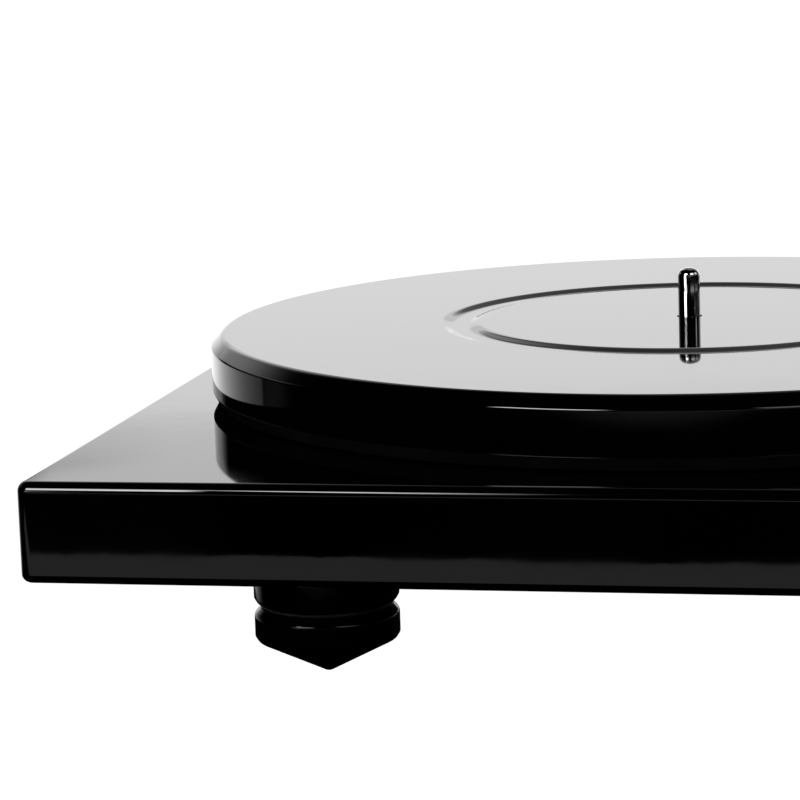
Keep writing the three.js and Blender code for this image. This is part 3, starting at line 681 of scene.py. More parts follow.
def band(section):
    """Closed band on the belt's line from a closed section of (grow, z)."""
    bm = bmesh.new()
    rings = [[bm.verts.new((x, y, z)) for x, y in belt_line(g)] for g, z in section]
    n = len(rings[0])
    for a, b in zip(rings, rings[1:] + rings[:1]):
        for k in range(n):
            k1 = (k + 1) % n
            bm.faces.new((a[k], a[k1], b[k1], b[k]))
    bmesh.ops.recalc_face_normals(bm, faces=bm.faces)
    return bm


piece("drive_belt", band([(0.3, 6.0), (0.8, 6.0), (0.95, 6.15), (0.95, 10.65), (0.8, 10.8), (0.3, 10.8), (0.15, 10.65), (0.15, 6.15)]), "root", "belt_rubber", TURNING)

# ------------------------------------------------------------------ motor
MOTOR = place(MOTOR_X, MOTOR_Y, ZT, MOTOR_ANG)
can = lathe([(0, -25.5), (6, -25.5), (6.3, -25.1), (7.7, -25.1), (8, -25.5), (17, -25.5, 0.6), (18, -24.5, 0.4), (18, -21.4), (17.5, -21.0), (17.5, -20.4), (18, -20.0), (18, -1, 0.6), (17, 0, 0.4), (5, 0, 0.2), (5, 2.2, 0.3), (0, 2.2)], 112)
piece("motor_can", cut(can, drill(1.8, -11, 3, 0, 0, 32)), "root", "machined_steel", MOTOR)
piece("motor_plate", cut(prism(rect(-24, 21, -28, 28, 8, 6), 0.3, 1.8, 0.25, 0.25, steps=3), drill(5.4, 0, 2, 0, 0, 48), drill(1.8, 0, 2, 0, 23, 32), drill(1.8, 0, 2, 0, -23, 32), prism(rect(-20.5, -17.5, -10, 10, 1.5), 0, 2)), "root", "zinc_steel", MOTOR)
for name, y in (("motor_screw_1", 23), ("motor_screw_2", -23)):
    screw = cut(lathe([(0, -11), (1.1, -11), *thread(1.5, -10.5, 1.5, 0.7, 0.15), (1.5, 2.1), (3, 2.1, 0.15), (3, 3.2, 0.4), (2.2, 3.9, 0.5), (0, 3.9)], 40), *cross(1.8, 0.65, 2.95, 4.3))
    piece(name, screw, "root", "machined_steel", MOTOR @ place(0, y, 0))
piece("motor_shaft", lathe([(0, -10.6), (1.5, -10.6, 0.2), (1.5, 12.0, 0.1), (1.1, 12.4, 0.1), (0, 12.4)], 40), "motor_rotor", "bright_steel", MOTOR)
pulley = lathe([(1.8, 2.8, 0.1), (5, 2.8, 0.3), (5, 4.4), (9.4, 4.6, 0.1), (9.4, 5.2, 0.15), (8, 5.5), (8.1, 8.4), (8, 11.3), (9.4, 11.6, 0.15), (9.4, 12.1, 0.15), (1.8, 12.1, 0.2)], 96)
piece("motor_pulley", cut(pulley, moved(along_x(prism(circle(0.7, 20), 3, 8)), 0, 0, 3.6)), "motor_rotor", "brass", MOTOR)

# ------------------------------------------------------------------ board, buttons, lead
board = prism(rect(180.5, 217.5, -92, -52, 1.5), -15, -13.4, 0.1, 0.1, steps=1)
board = cut(board, *[drill(1.2, -16, -13, x, y, 20) for x, y in ((183, -89.5), (215, -89.5), (183, -54.5), (215, -54.5))])
piece("control_board", board, "root", "circuit_board", DECK)
parts = []
for y in (BTN_Y1, BTN_Y2):
    parts.append(slab(BTN_X - 3.2, BTN_X + 3.2, y - 3.2, y + 3.2, -13.45, -9.7, 0.2))
    parts.append(moved(lathe([(0, -9.8), (1.8, -9.8), (1.8, -9.0, 0.2), (0, -9.0)], 32), BTN_X, y))
parts += [slab(183, 191, -78, -66, -13.45, -11.8, 0.15), slab(206, 214, -74, -66, -13.45, -10.6, 0.2), slab(183, 190, -58, -53.5, -19, -14.95, 0.3)]
parts.append(moved(lathe([(0, -20.5), (2.6, -20.5, 0.3), (3, -20.1, 0.2), (3, -19.4), (2.8, -19.2), (3, -19.0), (3, -14.95, 0.1), (0, -14.95)], 40), 209, -60))
piece("control_board_parts", merged(*parts), "root", "black_plastic", DECK)
leads = [slab(182.1 - 0.1, 183.0, -77.4 + 1.9 * k, -76.6 + 1.9 * k, -13.42, -13.2, 0.05) for k in range(6)]
leads += [slab(191.0, 192.0, -77.4 + 1.9 * k, -76.6 + 1.9 * k, -13.42, -13.2, 0.05) for k in range(6)]
leads += [slab(195.0, 195.9, y + s * 2.2 - 0.4, y + s * 2.2 + 0.4, -13.42, -13.0, 0.05) for y in (BTN_Y1, BTN_Y2) for s in (-1, 1)]
leads += [slab(202.1, 203.0, y + s * 2.2 - 0.4, y + s * 2.2 + 0.4, -13.42, -13.0, 0.05) for y in (BTN_Y1, BTN_Y2) for s in (-1, 1)]
piece("control_board_leads", merged(*leads), "root", "zinc_steel", DECK)
for name, y in (("power_bezel", BTN_Y1), ("speed_bezel", BTN_Y2)):
    piece(name, lathe([(BTN_R + 0.4, 0.3, 0.1), (9, 0.3, 0.1), (9, 0.9, 0.2), (8.4, 1.4, 0.2), (7.8, 1.4), (7.65, 1.25), (7.45, 1.25), (7.3, 1.4), (BTN_R + 0.4, 1.4, 0.25)], 96), "root", "satin_aluminium", place(BTN_X, y, ZT))
for name, y in (("power_button", BTN_Y1), ("speed_button", BTN_Y2)):
    dish = [(4.9 * (1 - k / 10), 2.32 + 0.2 * (1 - k / 10) ** 2) for k in range(1, 10)]
    cap = lathe([(0, -7), (5.4, -7, 0.2), (6, -6.4, 0.2), (6, 2.0, 0.3), (5.5, 2.58, 0.3), (4.9, 2.56), *dish, (0, 2.3)], 96)
    if name == "power_button":
        cap = cut(cap, moved(lathe([(0, 2.22), (0.9, 2.22, 0.1), (0.9, 3.0), (0, 3.0)], 40)))
    else:
        cap = cut(cap, moved(lathe([(1.9, 2.24), (2.35, 2.24), (2.35, 3.0), (1.9, 3.0)], 56)))
    piece(name, cap, name, "satin_aluminium", place(BTN_X, y, ZT))
lead_path = [(x, y, RECESS + 2.4) for x, y in fillets([LEAD[0], (*LEAD[1], 12), (*LEAD[2], 12), LEAD[3]], False, 6)]
piece("motor_lead", sweep(lead_path, 1.5, 20), "root", "cable_rubber", DECK)

# ------------------------------------------------------------------ rear sockets
REAR = place(0, 0, ZT - 14)
panel = along_y(prism(rect(113.3, 156.7, -8.7, 8.7, 1.0), 161.3, 162.8, 0.3, 0.1, steps=3))
holes = [moved(along_y(prism(circle(3.3, 40), 160, 164)), x) for x in (121.5, 135.0, 148.5)]
holes += [moved(along_y(lathe([(0, 161.9), (0.8, 161.9), (1.9, 163.0), (1.9, 164), (0, 164)], 32)), x) for x in (115.6, 154.4)]
piece("terminal_panel", cut(panel, *holes), "root", "black_plastic", REAR, axis="y")
for k, x in enumerate((115.6, 154.4)):
    head = lathe([(0, 161.95), (0.75, 161.95), (1.75, 162.7, 0.1), (1.6, 162.86, 0.1), (0, 162.9)], 32)
    piece(f"terminal_screw_{k + 1}", cut(along_y(head), *[moved(along_y(c), 0, 0, 0) for c in cross(1.1, 0.4, 162.55, 163.2)]), "root", "zinc_steel", REAR @ place(x, 0, 0), axis="y")
for name, x in (("rca_left", 121.5), ("rca_right", 135.0)):
    barrel = lathe([(0, 150), (2.9, 150, 0.2), (2.9, 163.7), (3.4, 163.7), (3.4, 165.5), (4.15, 165.5), (4.15, 168.0), (3.95, 168.2), (3.95, 168.5), (4.15, 168.7), (4.15, 171.8, 0.15), (3.8, 172.2, 0.1), (0, 172.2)], 64)
    flange = prism([(5.5 * math.cos(math.radians(a)), 5.5 * math.sin(math.radians(a))) for a in range(0, 360, 60)], 163.1, 165.2, 0.35, 0.1, steps=2)
    socket = cut(join(barrel, flange), lathe([(1.4, 171.4), (3.1, 171.4), (3.1, 174), (1.4, 174)], 48), prism(circle(1.6, 40), 162, 174))
    piece(name, along_y(socket), "root", "brass", REAR @ place(x, 0, 0), axis="y")
    piece(f"{name}_insulator", along_y(lathe([(1.65, 171.45), (3.05, 171.45), (3.05, 171.95, 0.1), (1.65, 171.95, 0.2)], 56)), "root", "black_plastic", REAR @ place(x, 0, 0), axis="y")
post = lathe([(0, 150), (2, 150, 0.2), (2, 163.1), (4.5, 163.1, 0.3), (4.5, 163.9), (4.5, 167.4), (4.5, 168, 0.2), (3.6, 169, 0.3), (2, 169), *thread(2, 169.2, 171.6, 0.6, 0.15), (1.7, 172), (0, 172)], 192, 10.0, (24, 0.35, 4.4, 163.8, 167.6))
piece("ground_post", along_y(post), "root", "brass", REAR @ place(148.5, 0, 0), axis="y")
inlet = lathe([(0, 146), (6.2, 146, 0.4), (6.2, 171.4, 0.2), (5.6, 172, 0.3), (3.7, 172), (3.4, 171.6), (2.9, 171.6), (2.9, 162), (1, 162), (1, 170.6, 0.4), (0, 171)], 72)
piece("dc_inlet", along_y(inlet), "root", "black_plastic", REAR @ place(185, 0, 0), axis="y")

# ------------------------------------------------------------------ tonearm
ARM = place(ARM_X, ARM_Y, ZT)
PIVOT = place(ARM_X, ARM_Y, ZT + ARM_Z)
screws = ((-18.5, -36.5), (30.5, -36.5), (30.5, 22.5), (-18.5, 22.5))
base = prism(rect(-24, 36, -42, 28, 10, 5), 0.3, 5, 0.9, 0.2, steps=5)
base = cut(base, drill(9.3, -1, 6, 0, 0, 80), *[moved(lathe([(0, 3.4), (1.2, 3.4), (2.7, 4.9), (2.7, 6), (0, 6)], 40), x, y) for x, y in screws])
piece("arm_base", base, "root", "black_anodised", ARM)
for k, (x, y) in enumerate(screws):
    head = cut(lathe([(0, 3.5), (1.15, 3.5), (2.55, 4.85, 0.1), (2.3, 4.98, 0.1), (0, 5.0)], 40), prism([(1.05 * math.cos(math.radians(a)), 1.05 * math.sin(math.radians(a))) for a in range(0, 360, 60)], 4.0, 5.5))
    piece(f"arm_base_screw_{k + 1}", head, "root", "machined_steel", ARM @ place(x, y, 0))
ticks = []
for k in range(10):
    a = math.radians(-135 + 30 * k + 90)
    ticks.append(moved(slab(8.5, 10.6 if k % 3 == 0 else 9.8, -0.16, 0.16, 4.9, 5.02, 0.01), 24, 8, 0, a))
piece("anti_skate_scale", merged(*ticks), "root", "satin_aluminium", ARM)
rings = []
for k in range(5):
    z = 20.8 - 1.6 * k
    rings += [(9, z + 0.12), (8.85, z), (9, z - 0.12)]
pillar = lathe([(0, -22), (8.4, -22, 0.3), (9, -21.4, 0.2), (9, 12.6), *rings[::-1], (9, 23.2, 0.2), (8.2, 24, 0.3), (0, 24)], 112)
piece("arm_pillar", cut(pillar, drill(4.3, 11.7, 25, 0, 0, 56)), "root", "satin_aluminium", ARM)
collar = lathe([(9.3, 5.3, 0.2), (13.4, 5.3, 0.2), (14, 5.9, 0.2), (14, 6.6), (14, 6.7), (14, 10.6), (14, 10.7), (14, 11.4, 0.2), (13.4, 12, 0.3), (9.3, 12, 0.3)], 288, 10.0, (48, 0.4, 13.9, 6.65, 10.65))
piece("pillar_collar", cut(collar, slab(-16, -6, -0.7, 0.7, 5, 13, 0.05), moved(along_y(prism(circle(1.2, 28), -15, -11.5)), 0, 0, 8.6)), "root", "black_anodised", ARM)
yoke_base = lathe([(0, 12), (4, 12, 0.2), (4, 24.3), (16.2, 24.3, 0.2), (17, 25.1, 0.3), (17, 27.5, 0.4), (16.2, 28.3, 0.4), (0, 28.3)], 112)
side_shape = fillets([(-6, 27, 0.9), (6, 27, 0.9), (6, 49.3, 5.0), (-6, 49.3, 5.0)], True, 7)


def yz(bm):
    """A prism drawn in (y, z) and built along z is stood up along x."""
    bmesh.ops.transform(bm, matrix=Matrix(((0, 0, 1, 0), (1, 0, 0, 0), (0, 1, 0, 0), (0, 0, 0, 1))), verts=bm.verts)
    return bm


cheeks = [yz(prism(side_shape, 11.5, 16.3, 0.6, 0.6, steps=3)), yz(prism(side_shape, -16.3, -11.5, 0.6, 0.6, steps=3))]
bore = moved(along_x(prism(circle(2.8, 40), -30, 30)), 0, 0, ARM_Z)
rims = [moved(along_x(lathe([(0, a), (4.3, a), (4.3, b), (0, b)], 48)), 0, 0, ARM_Z) for a, b in ((15.9, 17), (-17, -15.9))]
piece("arm_yoke", cut(join(yoke_base, *cheeks), bore, *rims), "arm_carrier", "black_anodised", ARM)
for name, s in (("pivot_screw_right", 1), ("pivot_screw_left", -1)):
    pts = [(0, 8.3), (0.8, 8.3), (2.5, 10.4), *thread(2.5, 10.8, 16.5, 0.6, 0.14), (2.5, 16.8), (3.6, 16.8, 0.15), (3.6, 18.6, 0.3), (3, 19.2, 0.3), (0, 19.2)]
    screw = along_x(lathe([(p[0], s * p[1], *p[2:]) for p in pts], 56))
    slot = slab(18.4, 20, -0.4, 0.4, -3.7, 3.7, 0.02) if s > 0 else slab(-20, -18.4, -0.4, 0.4, -3.7, 3.7, 0.02)
    piece(name, cut(screw, slot), "arm_carrier", "machined_steel", PIVOT, axis="x")
block = prism(rect(-8, 8, -11, 11, 3, 6), -8, 8, 1.4, 1.4, steps=5)
block = cut(block, along_y(prism(circle(TUBE_R + 0.3, 56), -12, -3)), along_y(prism(circle(3.8, 48), 3, 12)), drill(1.3, 5.5, 9, 0, -6.5, 28), drill(1.3, 5.5, 9, 0, 6.5, 28))
piece("arm_block", block, "arm_wand", "black_anodised", PIVOT)
tube = lathe([(3.6, -ARM_H + 8, 0.2), (4.5, -ARM_H + 8, 0.3), (4.5, -ARM_H + 11), (4.38, -ARM_H + 11.15), (4.38, -ARM_H + 11.5), (4.5, -ARM_H + 11.65), (4.5, -14.5), (4.38, -14.35), (4.38, -14.0), (4.5, -13.85), (4.5, -3.3, 0.3), (3.6, -3.3, 0.2)], 72)
piece("arm_tube", along_y(tube), "arm_wand", "satin_aluminium", PIVOT, axis="y")
shaft = lathe([(0, 3.3), (3.5, 3.3, 0.2), (3.5, 12.5), *thread(3.5, 13, 66.5, 1.0, 0.22), (3.5, 67.2, 0.2), (2.8, 68, 0.3), (0, 68)], 56)
piece("counterweight_shaft", along_y(shaft), "arm_wand", "machined_steel", PIVOT, axis="y")
weight = lathe([
    (3.8, 42, 0.4), (11.5, 42, 0.4), (12.5, 43, 0.4), (12.5, 45.0), (12.1, 45.3), (12.1, 45.7), (12.5, 46.0), (12.5, 55.0), (12.5, 57, 0.3), (11.9, 57.5), (11.9, 58.5),
    (12.5, 59, 0.1), (12.5, 59.2), (12.5, 60.8), (12.5, 61, 0.1), (11.5, 62, 0.4), (9.6, 62), (9.3, 61.6), (5.6, 61.6), (5.3, 62), (3.8, 62, 0.4),
], 288, 10.0, (72, 0.3, 12.4, 59.1, 60.9))
piece("counterweight", along_y(weight), "counterweight", "machined_steel", PIVOT, axis="y")

# headshell and cartridge: their own +Y points to the pivot
HEAD = ARM @ Matrix.Translation((0, -ARM_H, ARM_Z)) @ Matrix.Rotation(-HEAD_ANG, 4, "Z")
outline = fillets([(9, -31, 3), (9, -2, 5), (5, 6, 1.5), (-5, 6, 1.5), (-9, -2, 5), (-9, -31, 3), (-7.5, -35, 1.5), (7.5, -35, 1.5)], True, 8)
area = sum(a[0] * b[1] - b[0] * a[1] for a, b in zip(outline, outline[1:] + outline[:1]))
if area < 0:
    outline = outline[::-1]
shell = prism(outline, -1.2, 1.2, 0.45, 0.45, steps=4)
neck = moved(along_y(lathe([(0, 0), (4.5, 0, 0.4), (4.5, 5.6), (4.35, 5.8), (4.35, 6.1), (4.5, 6.3), (4.5, 7.7, 0.3), (0, 7.7)], 64)), turn=HEAD_ANG)
grip_path = [(8.0 + 11.6 * k / 14, -25.7, 0.1 * (k / 14) + 0.55 * max(0.0, k / 14 - 0.45) ** 2) for k in range(15)]
grip = sweep(grip_path, [0.62] * 12 + [0.75, 1.0, 1.15], 20)
tip_pad = moved(lathe([(0, -0.55), (1.9, -0.55, 0.3), (2.2, -0.2, 0.2), (2.2, 0.6, 0.3), (1.9, 0.85, 0.2), (0, 0.75)], 40), 19.6, -25.7)
slots = [prism(rect(x - 1.4, x + 1.4, -24, -10, 1.35, 15), -3, 3) for x in (-6.35, 6.35)]
lightening = [drill(1.5, -3, 3, 0, -8.5 - 6.2 * k, 36) for k in range(4)]
piece("headshell", cut(join(shell, neck, grip, tip_pad), *slots, *lightening), "arm_wand", "black_anodised", HEAD)
bolts = []
for x in (-6.35, 6.35):
    bolts.append(moved(cut(lathe([(0, -1.1), (1.1, -1.1), (1.1, 1.22), (2.1, 1.22, 0.1), (2.1, 2.3, 0.5), (0, 2.5)], 40), slab(-2.3, 2.3, -0.28, 0.28, 1.9, 3, 0.02)), x, -17))
piece("cartridge_screws", merged(*bolts), "arm_wand", "bright_steel", HEAD)
side = fillets([(-30, -12, 0.9), (-27.5, -15.7, 1.2), (-6, -15.7, 1.2), (-3, -12, 1.2), (-3, -1.5, 0.9), (-28, -1.5, 0.9), (-30, -4, 0.9)], True, 10)
body = yz(prism(side, -7.6, 7.6, 0.6, 0.6, steps=4))
grooves = [slab(-9, -7.25, -25, -8, -7.2, -6.9, 0.02), slab(7.25, 9, -25, -8, -7.2, -6.9, 0.02), slab(-6, 6, -31, -29.7, -10.6, -10.3, 0.02)]
piece("cartridge", cut(body, *grooves), "arm_wand", "black_plastic", HEAD)
pins = []
for x, z in ((-3.4, -5.4), (3.4, -5.4), (-3.4, -9.2), (3.4, -9.2)):
    pins.append(moved(along_y(lathe([(0, -3.4), (0.62, -3.4), (0.62, 1.2, 0.25), (0, 1.2)], 24)), x, 0, z))
piece("cartridge_pins", merged(*pins), "arm_wand", "brass", HEAD)
wires = []
for x, z in ((-3.4, -5.4), (3.4, -5.4), (-3.4, -9.2), (3.4, -9.2)):
    path = []
    end = Vector((x * 0.25 + 1.2, 6.6, -3.9 + 0.06 * z))
    start = Vector((x, -1.6, z))
    for k in range(17):
        t = k / 16
        a, b = start + Vector((0, 5.0, -0.6)), end + Vector((0, -2.2, -1.6))
        path.append(start * (1 - t) ** 3 + a * 3 * t * (1 - t) ** 2 + b * 3 * t * t * (1 - t) + end * t ** 3)
    wires.append(sweep(path, 0.36, 12))
    wires.append(moved(along_y(lathe([(0, -1.7), (0.8, -1.7, 0.15), (0.8, 0.9, 0.3), (0, 0.9)], 20)), x, 0, z))
piece("cartridge_wires", merged(*wires), "arm_wand", "cable_rubber", HEAD)
holder = prism(fillets([(-2.6, -14, 0.5), (-2.6, -24.5, 1.0), (-1.3, -27, 0.8), (1.3, -27, 0.8), (2.6, -24.5, 1.0), (2.6, -14, 0.5)], True), -16.6, -15.75, 0.25, 0.25, steps=3)
holder = cut(holder, slab(-0.9, 0.9, -28, -23.2, -17, -16.25, 0.02))
cantilever = sweep([(0, -17.0 - 8.2 * k / 6, -16.15 - 0.45 * k / 6) for k in range(7)], [0.42, 0.4, 0.38, 0.35, 0.32, 0.3, 0.28], 16)
diamond = moved(lathe([(0, -17.7), (0.12, -17.66), (0.42, -16.9), (0.42, -16.4, 0.1), (0, -16.35)], 24), 0, -STYLUS_S)
piece("stylus", merged(holder, cantilever, diamond), "arm_wand", "black_plastic", HEAD)

rest = lathe([(0, 0.3), (8, 0.3, 0.2), (8, 2.4, 0.3), (7.2, 3.2, 0.6), (4, 3.2, 1.6), (4, 30.6), (4, 33.6), (0, 33.6)], 80)
cradle = prism(fillets([(-6, 33, 1.2), (8.2, 33, 1.2), (8.2, 44, 0.9), (5.2, 44, 0.9), (5.2, 36.3, 0.8), (-6, 36.3, 1.2)], True, 9), -3, 3, 0.6, 0.6, steps=3)
bmesh.ops.transform(cradle, matrix=Matrix.Rotation(math.pi / 2, 4, "X"), verts=cradle.verts)
piece("arm_rest", join(rest, cradle), "root", "black_anodised", ARM @ place(0, -80, 0))

# ------------------------------------------------------------------ arm lift
LIFT = ARM @ place(LX, LY, 0)
housing = lathe([(0, 5.3), (7.3, 5.3, 0.2), (7.3, 6.5, 0.3), (6.5, 7.1, 0.4), (6.5, 20.6), (6.3, 20.8), (6.3, 21.2), (6.5, 21.4), (6.5, 23.2, 0.3), (5.8, 24, 0.3), (0, 24)], 80)
piece("lift_housing", cut(housing, drill(2.5, 12.5, 25, 0, 0, 40), moved(along_x(prism(circle(2.1, 36), 3.1, 8)), 0, 0, LEVER_Z)), "root", "black_anodised", LIFT)
arc, a0, a1, n = [], math.radians(-57), math.radians(-146), 40
for r, order in ((LIFT_R - 1.8, range(n + 1)), (LIFT_R + 1.8, range(n, -1, -1))):
    for i in order:
        t = a0 + (a1 - a0) * i / n
        arc.append((r * math.cos(t), r * math.sin(t)))
area = sum(a[0] * b[1] - b[0] * a[1] for a, b in zip(arc, arc[1:] + arc[:1]))
if area < 0:
    arc = arc[::-1]
bar = prism(arc, 30.4, 33.0, 0.6, 0.4, steps=4)
piece("lift_bar", join(bar, moved(lathe([(0, 13), (2.2, 13, 0.3), (2.2, 31), (0, 31)], 48), LX, LY)), "arm_lift", "black_anodised", ARM)
hub = along_x(lathe([(0, 3.5), (1.8, 3.5, 0.2), (1.8, 6.8), (4, 6.8, 0.4), (4, 10.8, 0.5), (0, 10.8)], 64))
lever = sweep([(8.8, -1.0 - 27.2 * k / 12, 0) for k in range(13)], [1.35 - 0.035 * k for k in range(13)], 28)
knob = moved(along_x(lathe([(0, 7.2), (1.9, 7.2, 0.5), (3, 8.2, 0.8), (3, 9.4, 0.8), (1.9, 10.4, 0.5), (0, 10.4)], 56)), 0, -29, 0)
piece("cue_lever", join(hub, lever, knob), "cue_lever", "black_anodised", ARM @ Matrix.Translation((LX, LY, LEVER_Z)), axis="x")
dial = lathe([(0, 5.3), (7.5, 5.3, 0.2), (7.5, 7.3, 0.4), (6.4, 7.6, 0.1), (6.4, 7.9), (6.4, 8.0), (6.4, 12.6), (6.4, 12.7), (6.4, 13.2, 0.2), (5.8, 13.8, 0.3), (0, 13.8)], 240, 10.0, (30, 0.4, 6.35, 7.95, 12.65))
piece("anti_skate_knob", cut(dial, slab(-0.4, 0.4, 2, 7, 13.2, 14.5, 0.02)), "anti_skate_knob", "satin_aluminium", ARM @ place(24, 8, 0))

# ------------------------------------------------------------------ camera
def make_camera():
    yaw, pitch, roll, f = 0.2153, 0.1686, 0.0322, 3176.72  # f in pixels of the 800-pixel frame
    right = Vector((math.cos(yaw), math.sin(yaw), 0))
    fwd = Vector((-math.sin(yaw) * math.cos(pitch), math.cos(yaw) * math.cos(pitch), -math.sin(pitch)))
    down = fwd.cross(right)
    x = right * math.cos(roll) + down * math.sin(roll)
    y = right * math.sin(roll) - down * math.cos(roll)
    cam = bpy.data.cameras.new("camera")
    cam.sensor_width, cam.sensor_fit = 36.0, "HORIZONTAL"
    cam.lens = f * 36.0 / 800.0
    cam.clip_start, cam.clip_end = 0.02, 60.0
    o = bpy.data.objects.new("camera", cam)
    scene.collection.objects.link(o)
    rot = Matrix((x, y, -fwd)).transposed().to_4x4()
    o.matrix_world = Matrix.Translation((0.0620698, -0.9850491, 0.2238922)) @ rot
    scene.camera = o


make_camera()

# ------------------------------------------------------------------ studio
scene.view_settings.view_transform = "Standard"
scene.view_settings.look = "None"


def direction(left, up):
    """Unit vector; left is the angle from +Y towards -X, up above the horizon."""
    a, e = math.radians(left), math.radians(up)
    return Vector((-math.sin(a) * math.cos(e), math.cos(a) * math.cos(e), math.sin(e)))


def make_world():
    """Pure white for the camera; for everything else a white sweep behind the
    object that fades out to the sides and overhead, and a dark room in front."""
    w = bpy.data.worlds.new("studio")
    scene.world = w
    w.use_nodes = True
    t = w.node_tree
    t.nodes.clear()
    new = t.nodes.new

    def calc(op, a, b=0.0, c=None):
        n = new("ShaderNodeMath")
        n.operation = op
        for i, v in enumerate((a, b, c)):
            if v is None:
                continue
            if isinstance(v, (int, float)):
                n.inputs[i].default_value = v
            else:
                t.links.new(v, n.inputs[i])
        return n.outputs[0]

    coord, sep = new("ShaderNodeTexCoord"), new("ShaderNodeSeparateXYZ")
    t.links.new(coord.outputs["Generated"], sep.inputs[0])
    x, y, z = sep.outputs
    az = calc("MULTIPLY", calc("ARCTAN2", calc("ABSOLUTE", x), y), 180 / math.pi)
    el = calc("MULTIPLY", calc("ARCSINE", calc("MINIMUM", calc("MAXIMUM", z, -1.0), 1.0)), 180 / math.pi)
    u = calc("ADD", az, calc("MULTIPLY", calc("MAXIMUM", el, -12.0), 0.64))
    ramp = new("ShaderNodeValToRGB")
    ramp.color_ramp.interpolation = "LINEAR"
    stops = [(0, 1.5), (22, 1.5), (27, 1.42), (32, 1.2), (37, 0.95), (42, 0.76), (47, 0.56), (52, 0.38), (57, 0.26), (62, 0.17), (67, 0.1), (72, 0.05), (80, 0.012), (90, 0.0)]
    e = ramp.color_ramp.elements
    while len(e) < len(stops):
        e.new(0.5)
    for el_, (p, v) in zip(e, stops):
        el_.position = p / 100
        el_.color = (v / 2, v / 2, v / 2, 1)
    t.links.new(calc("MULTIPLY", u, 0.01), ramp.inputs[0])

    def step(value, a, b, va, vb, kind="SMOOTHSTEP"):
        n = new("ShaderNodeMapRange")
        n.interpolation_type = kind
        for i, v in ((1, a), (2, b), (3, va), (4, vb)):
            n.inputs[i].default_value = v
        t.links.new(value, n.inputs[0])
        return n.outputs[0]

    # the sweep ends at 67.5 degrees to either side, and its front part lies on the floor
    end = calc("MAXIMUM", step(az, 66.4, 68.4, 1.0, 0.0), step(az, 76.5, 80.0, 0.14, 0.0))
    below = step(el, -19.0, -12.0, 0.0, 1.0)
    top = step(el, 24.0, 52.0, 1.0, 0.0)
    middle = step(az, 20.0, 33.0, 1.0, 0.0)
    # in the middle the white sweep ends 12 degrees up, with a dim wall above it
    wall = calc("MULTIPLY", step(el, 11.2, 19.0, 1.0, 0.14), step(el, 50.0, 75.0, 1.0, 0.0))
    over = step(az, 15.0, 24.0, 1.0, 0.0)
    top = calc("ADD", calc("MULTIPLY", over, wall), calc("MULTIPLY", calc("SUBTRACT", 1.0, over), top))
    rise = calc("MULTIPLY", step(el, 7.0, 9.6, 0.9, 1.03, "LINEAR"), step(el, 9.6, 10.0, 1.0, 0.84))
    rise = calc("ADD", rise, step(el, 11.2, 14.0, 0.0, 0.4))
    level = calc("ADD", 1.0, calc("MULTIPLY", middle, calc("SUBTRACT", rise, 1.0)))
    value = calc("MULTIPLY", calc("MULTIPLY", ramp.outputs[0], 2.0), calc("MULTIPLY", calc("MULTIPLY", end, below), calc("MULTIPLY", top, level)))
    studio, white = new("ShaderNodeBackground"), new("ShaderNodeBackground")
    t.links.new(value, studio.inputs["Strength"])
    studio.inputs["Color"].default_value = (1, 1, 1, 1)
    white.inputs["Color"].default_value = (1, 1, 1, 1)
    white.inputs["Strength"].default_value = 1.1
    path, mix, out = new("ShaderNodeLightPath"), new("ShaderNodeMixShader"), new("ShaderNodeOutputWorld")
    t.links.new(path.outputs["Is Camera Ray"], mix.inputs[0])
    t.links.new(studio.outputs[0], mix.inputs[1])
    t.links.new(white.outputs[0], mix.inputs[2])
    t.links.new(mix.outputs[0], out.inputs[0])


make_world()


def softbox(name, left0, left1, up0, up1, radiance, soft=(0.0, 0.0, 0.0, 0.0), distance=1.6, centre=(-0.05, -0.05, 0.06)):
    """Lit panel that fills a window of directions seen from the object. soft
    gives the degrees over which the left0, left1, up0 and up1 edges fade."""
    bm = bmesh.new()
    nx, ny = 48, 24
    grid, glow = [], []
    for i in range(nx + 1):
        row = []
        for j in range(ny + 1):
            left, up = left0 + (left1 - left0) * i / nx, up0 + (up1 - up0) * j / ny
            row.append(bm.verts.new(Vector(centre) + direction(left, up) * distance))
            g = 1.0
            for d, w in ((left - left0, soft[0]), (left1 - left, soft[1]), (up - up0, soft[2]), (up1 - up, soft[3])):
                if w > 0:
                    t = min(1.0, max(0.0, d / w))
                    g *= t * t * (3 - 2 * t)
            glow.append(g)
        grid.append(row)
    for i in range(nx):
        for j in range(ny):
            bm.faces.new((grid[i][j], grid[i + 1][j], grid[i + 1][j + 1], grid[i][j + 1]))
    me = bpy.data.meshes.new(name)
    bm.to_mesh(me)
    bm.free()
    me.attributes.new("glow", "FLOAT", "POINT").data.foreach_set("value", glow)
    m = bpy.data.materials.new(name)
    m.use_nodes = True
    t = m.node_tree
    t.nodes.clear()
    at = t.nodes.new("ShaderNodeAttribute")
    at.attribute_type, at.attribute_name = "GEOMETRY", "glow"
    mul = t.nodes.new("ShaderNodeMath")
    mul.operation = "MULTIPLY"
    mul.inputs[1].default_value = radiance
    t.links.new(at.outputs["Fac"], mul.inputs[0])
    em, clear = t.nodes.new("ShaderNodeEmission"), t.nodes.new("ShaderNodeBsdfTransparent")
    t.links.new(mul.outputs[0], em.inputs["Strength"])
    add, out = t.nodes.new("ShaderNodeAddShader"), t.nodes.new("ShaderNodeOutputMaterial")
    t.links.new(em.outputs[0], add.inputs[0])
    t.links.new(clear.outputs[0], add.inputs[1])
    t.links.new(add.outputs[0], out.inputs[0])
    me.materials.append(m)
    o = bpy.data.objects.new(name, me)
    scene.collection.objects.link(o)
    o.visible_camera = False
    return o


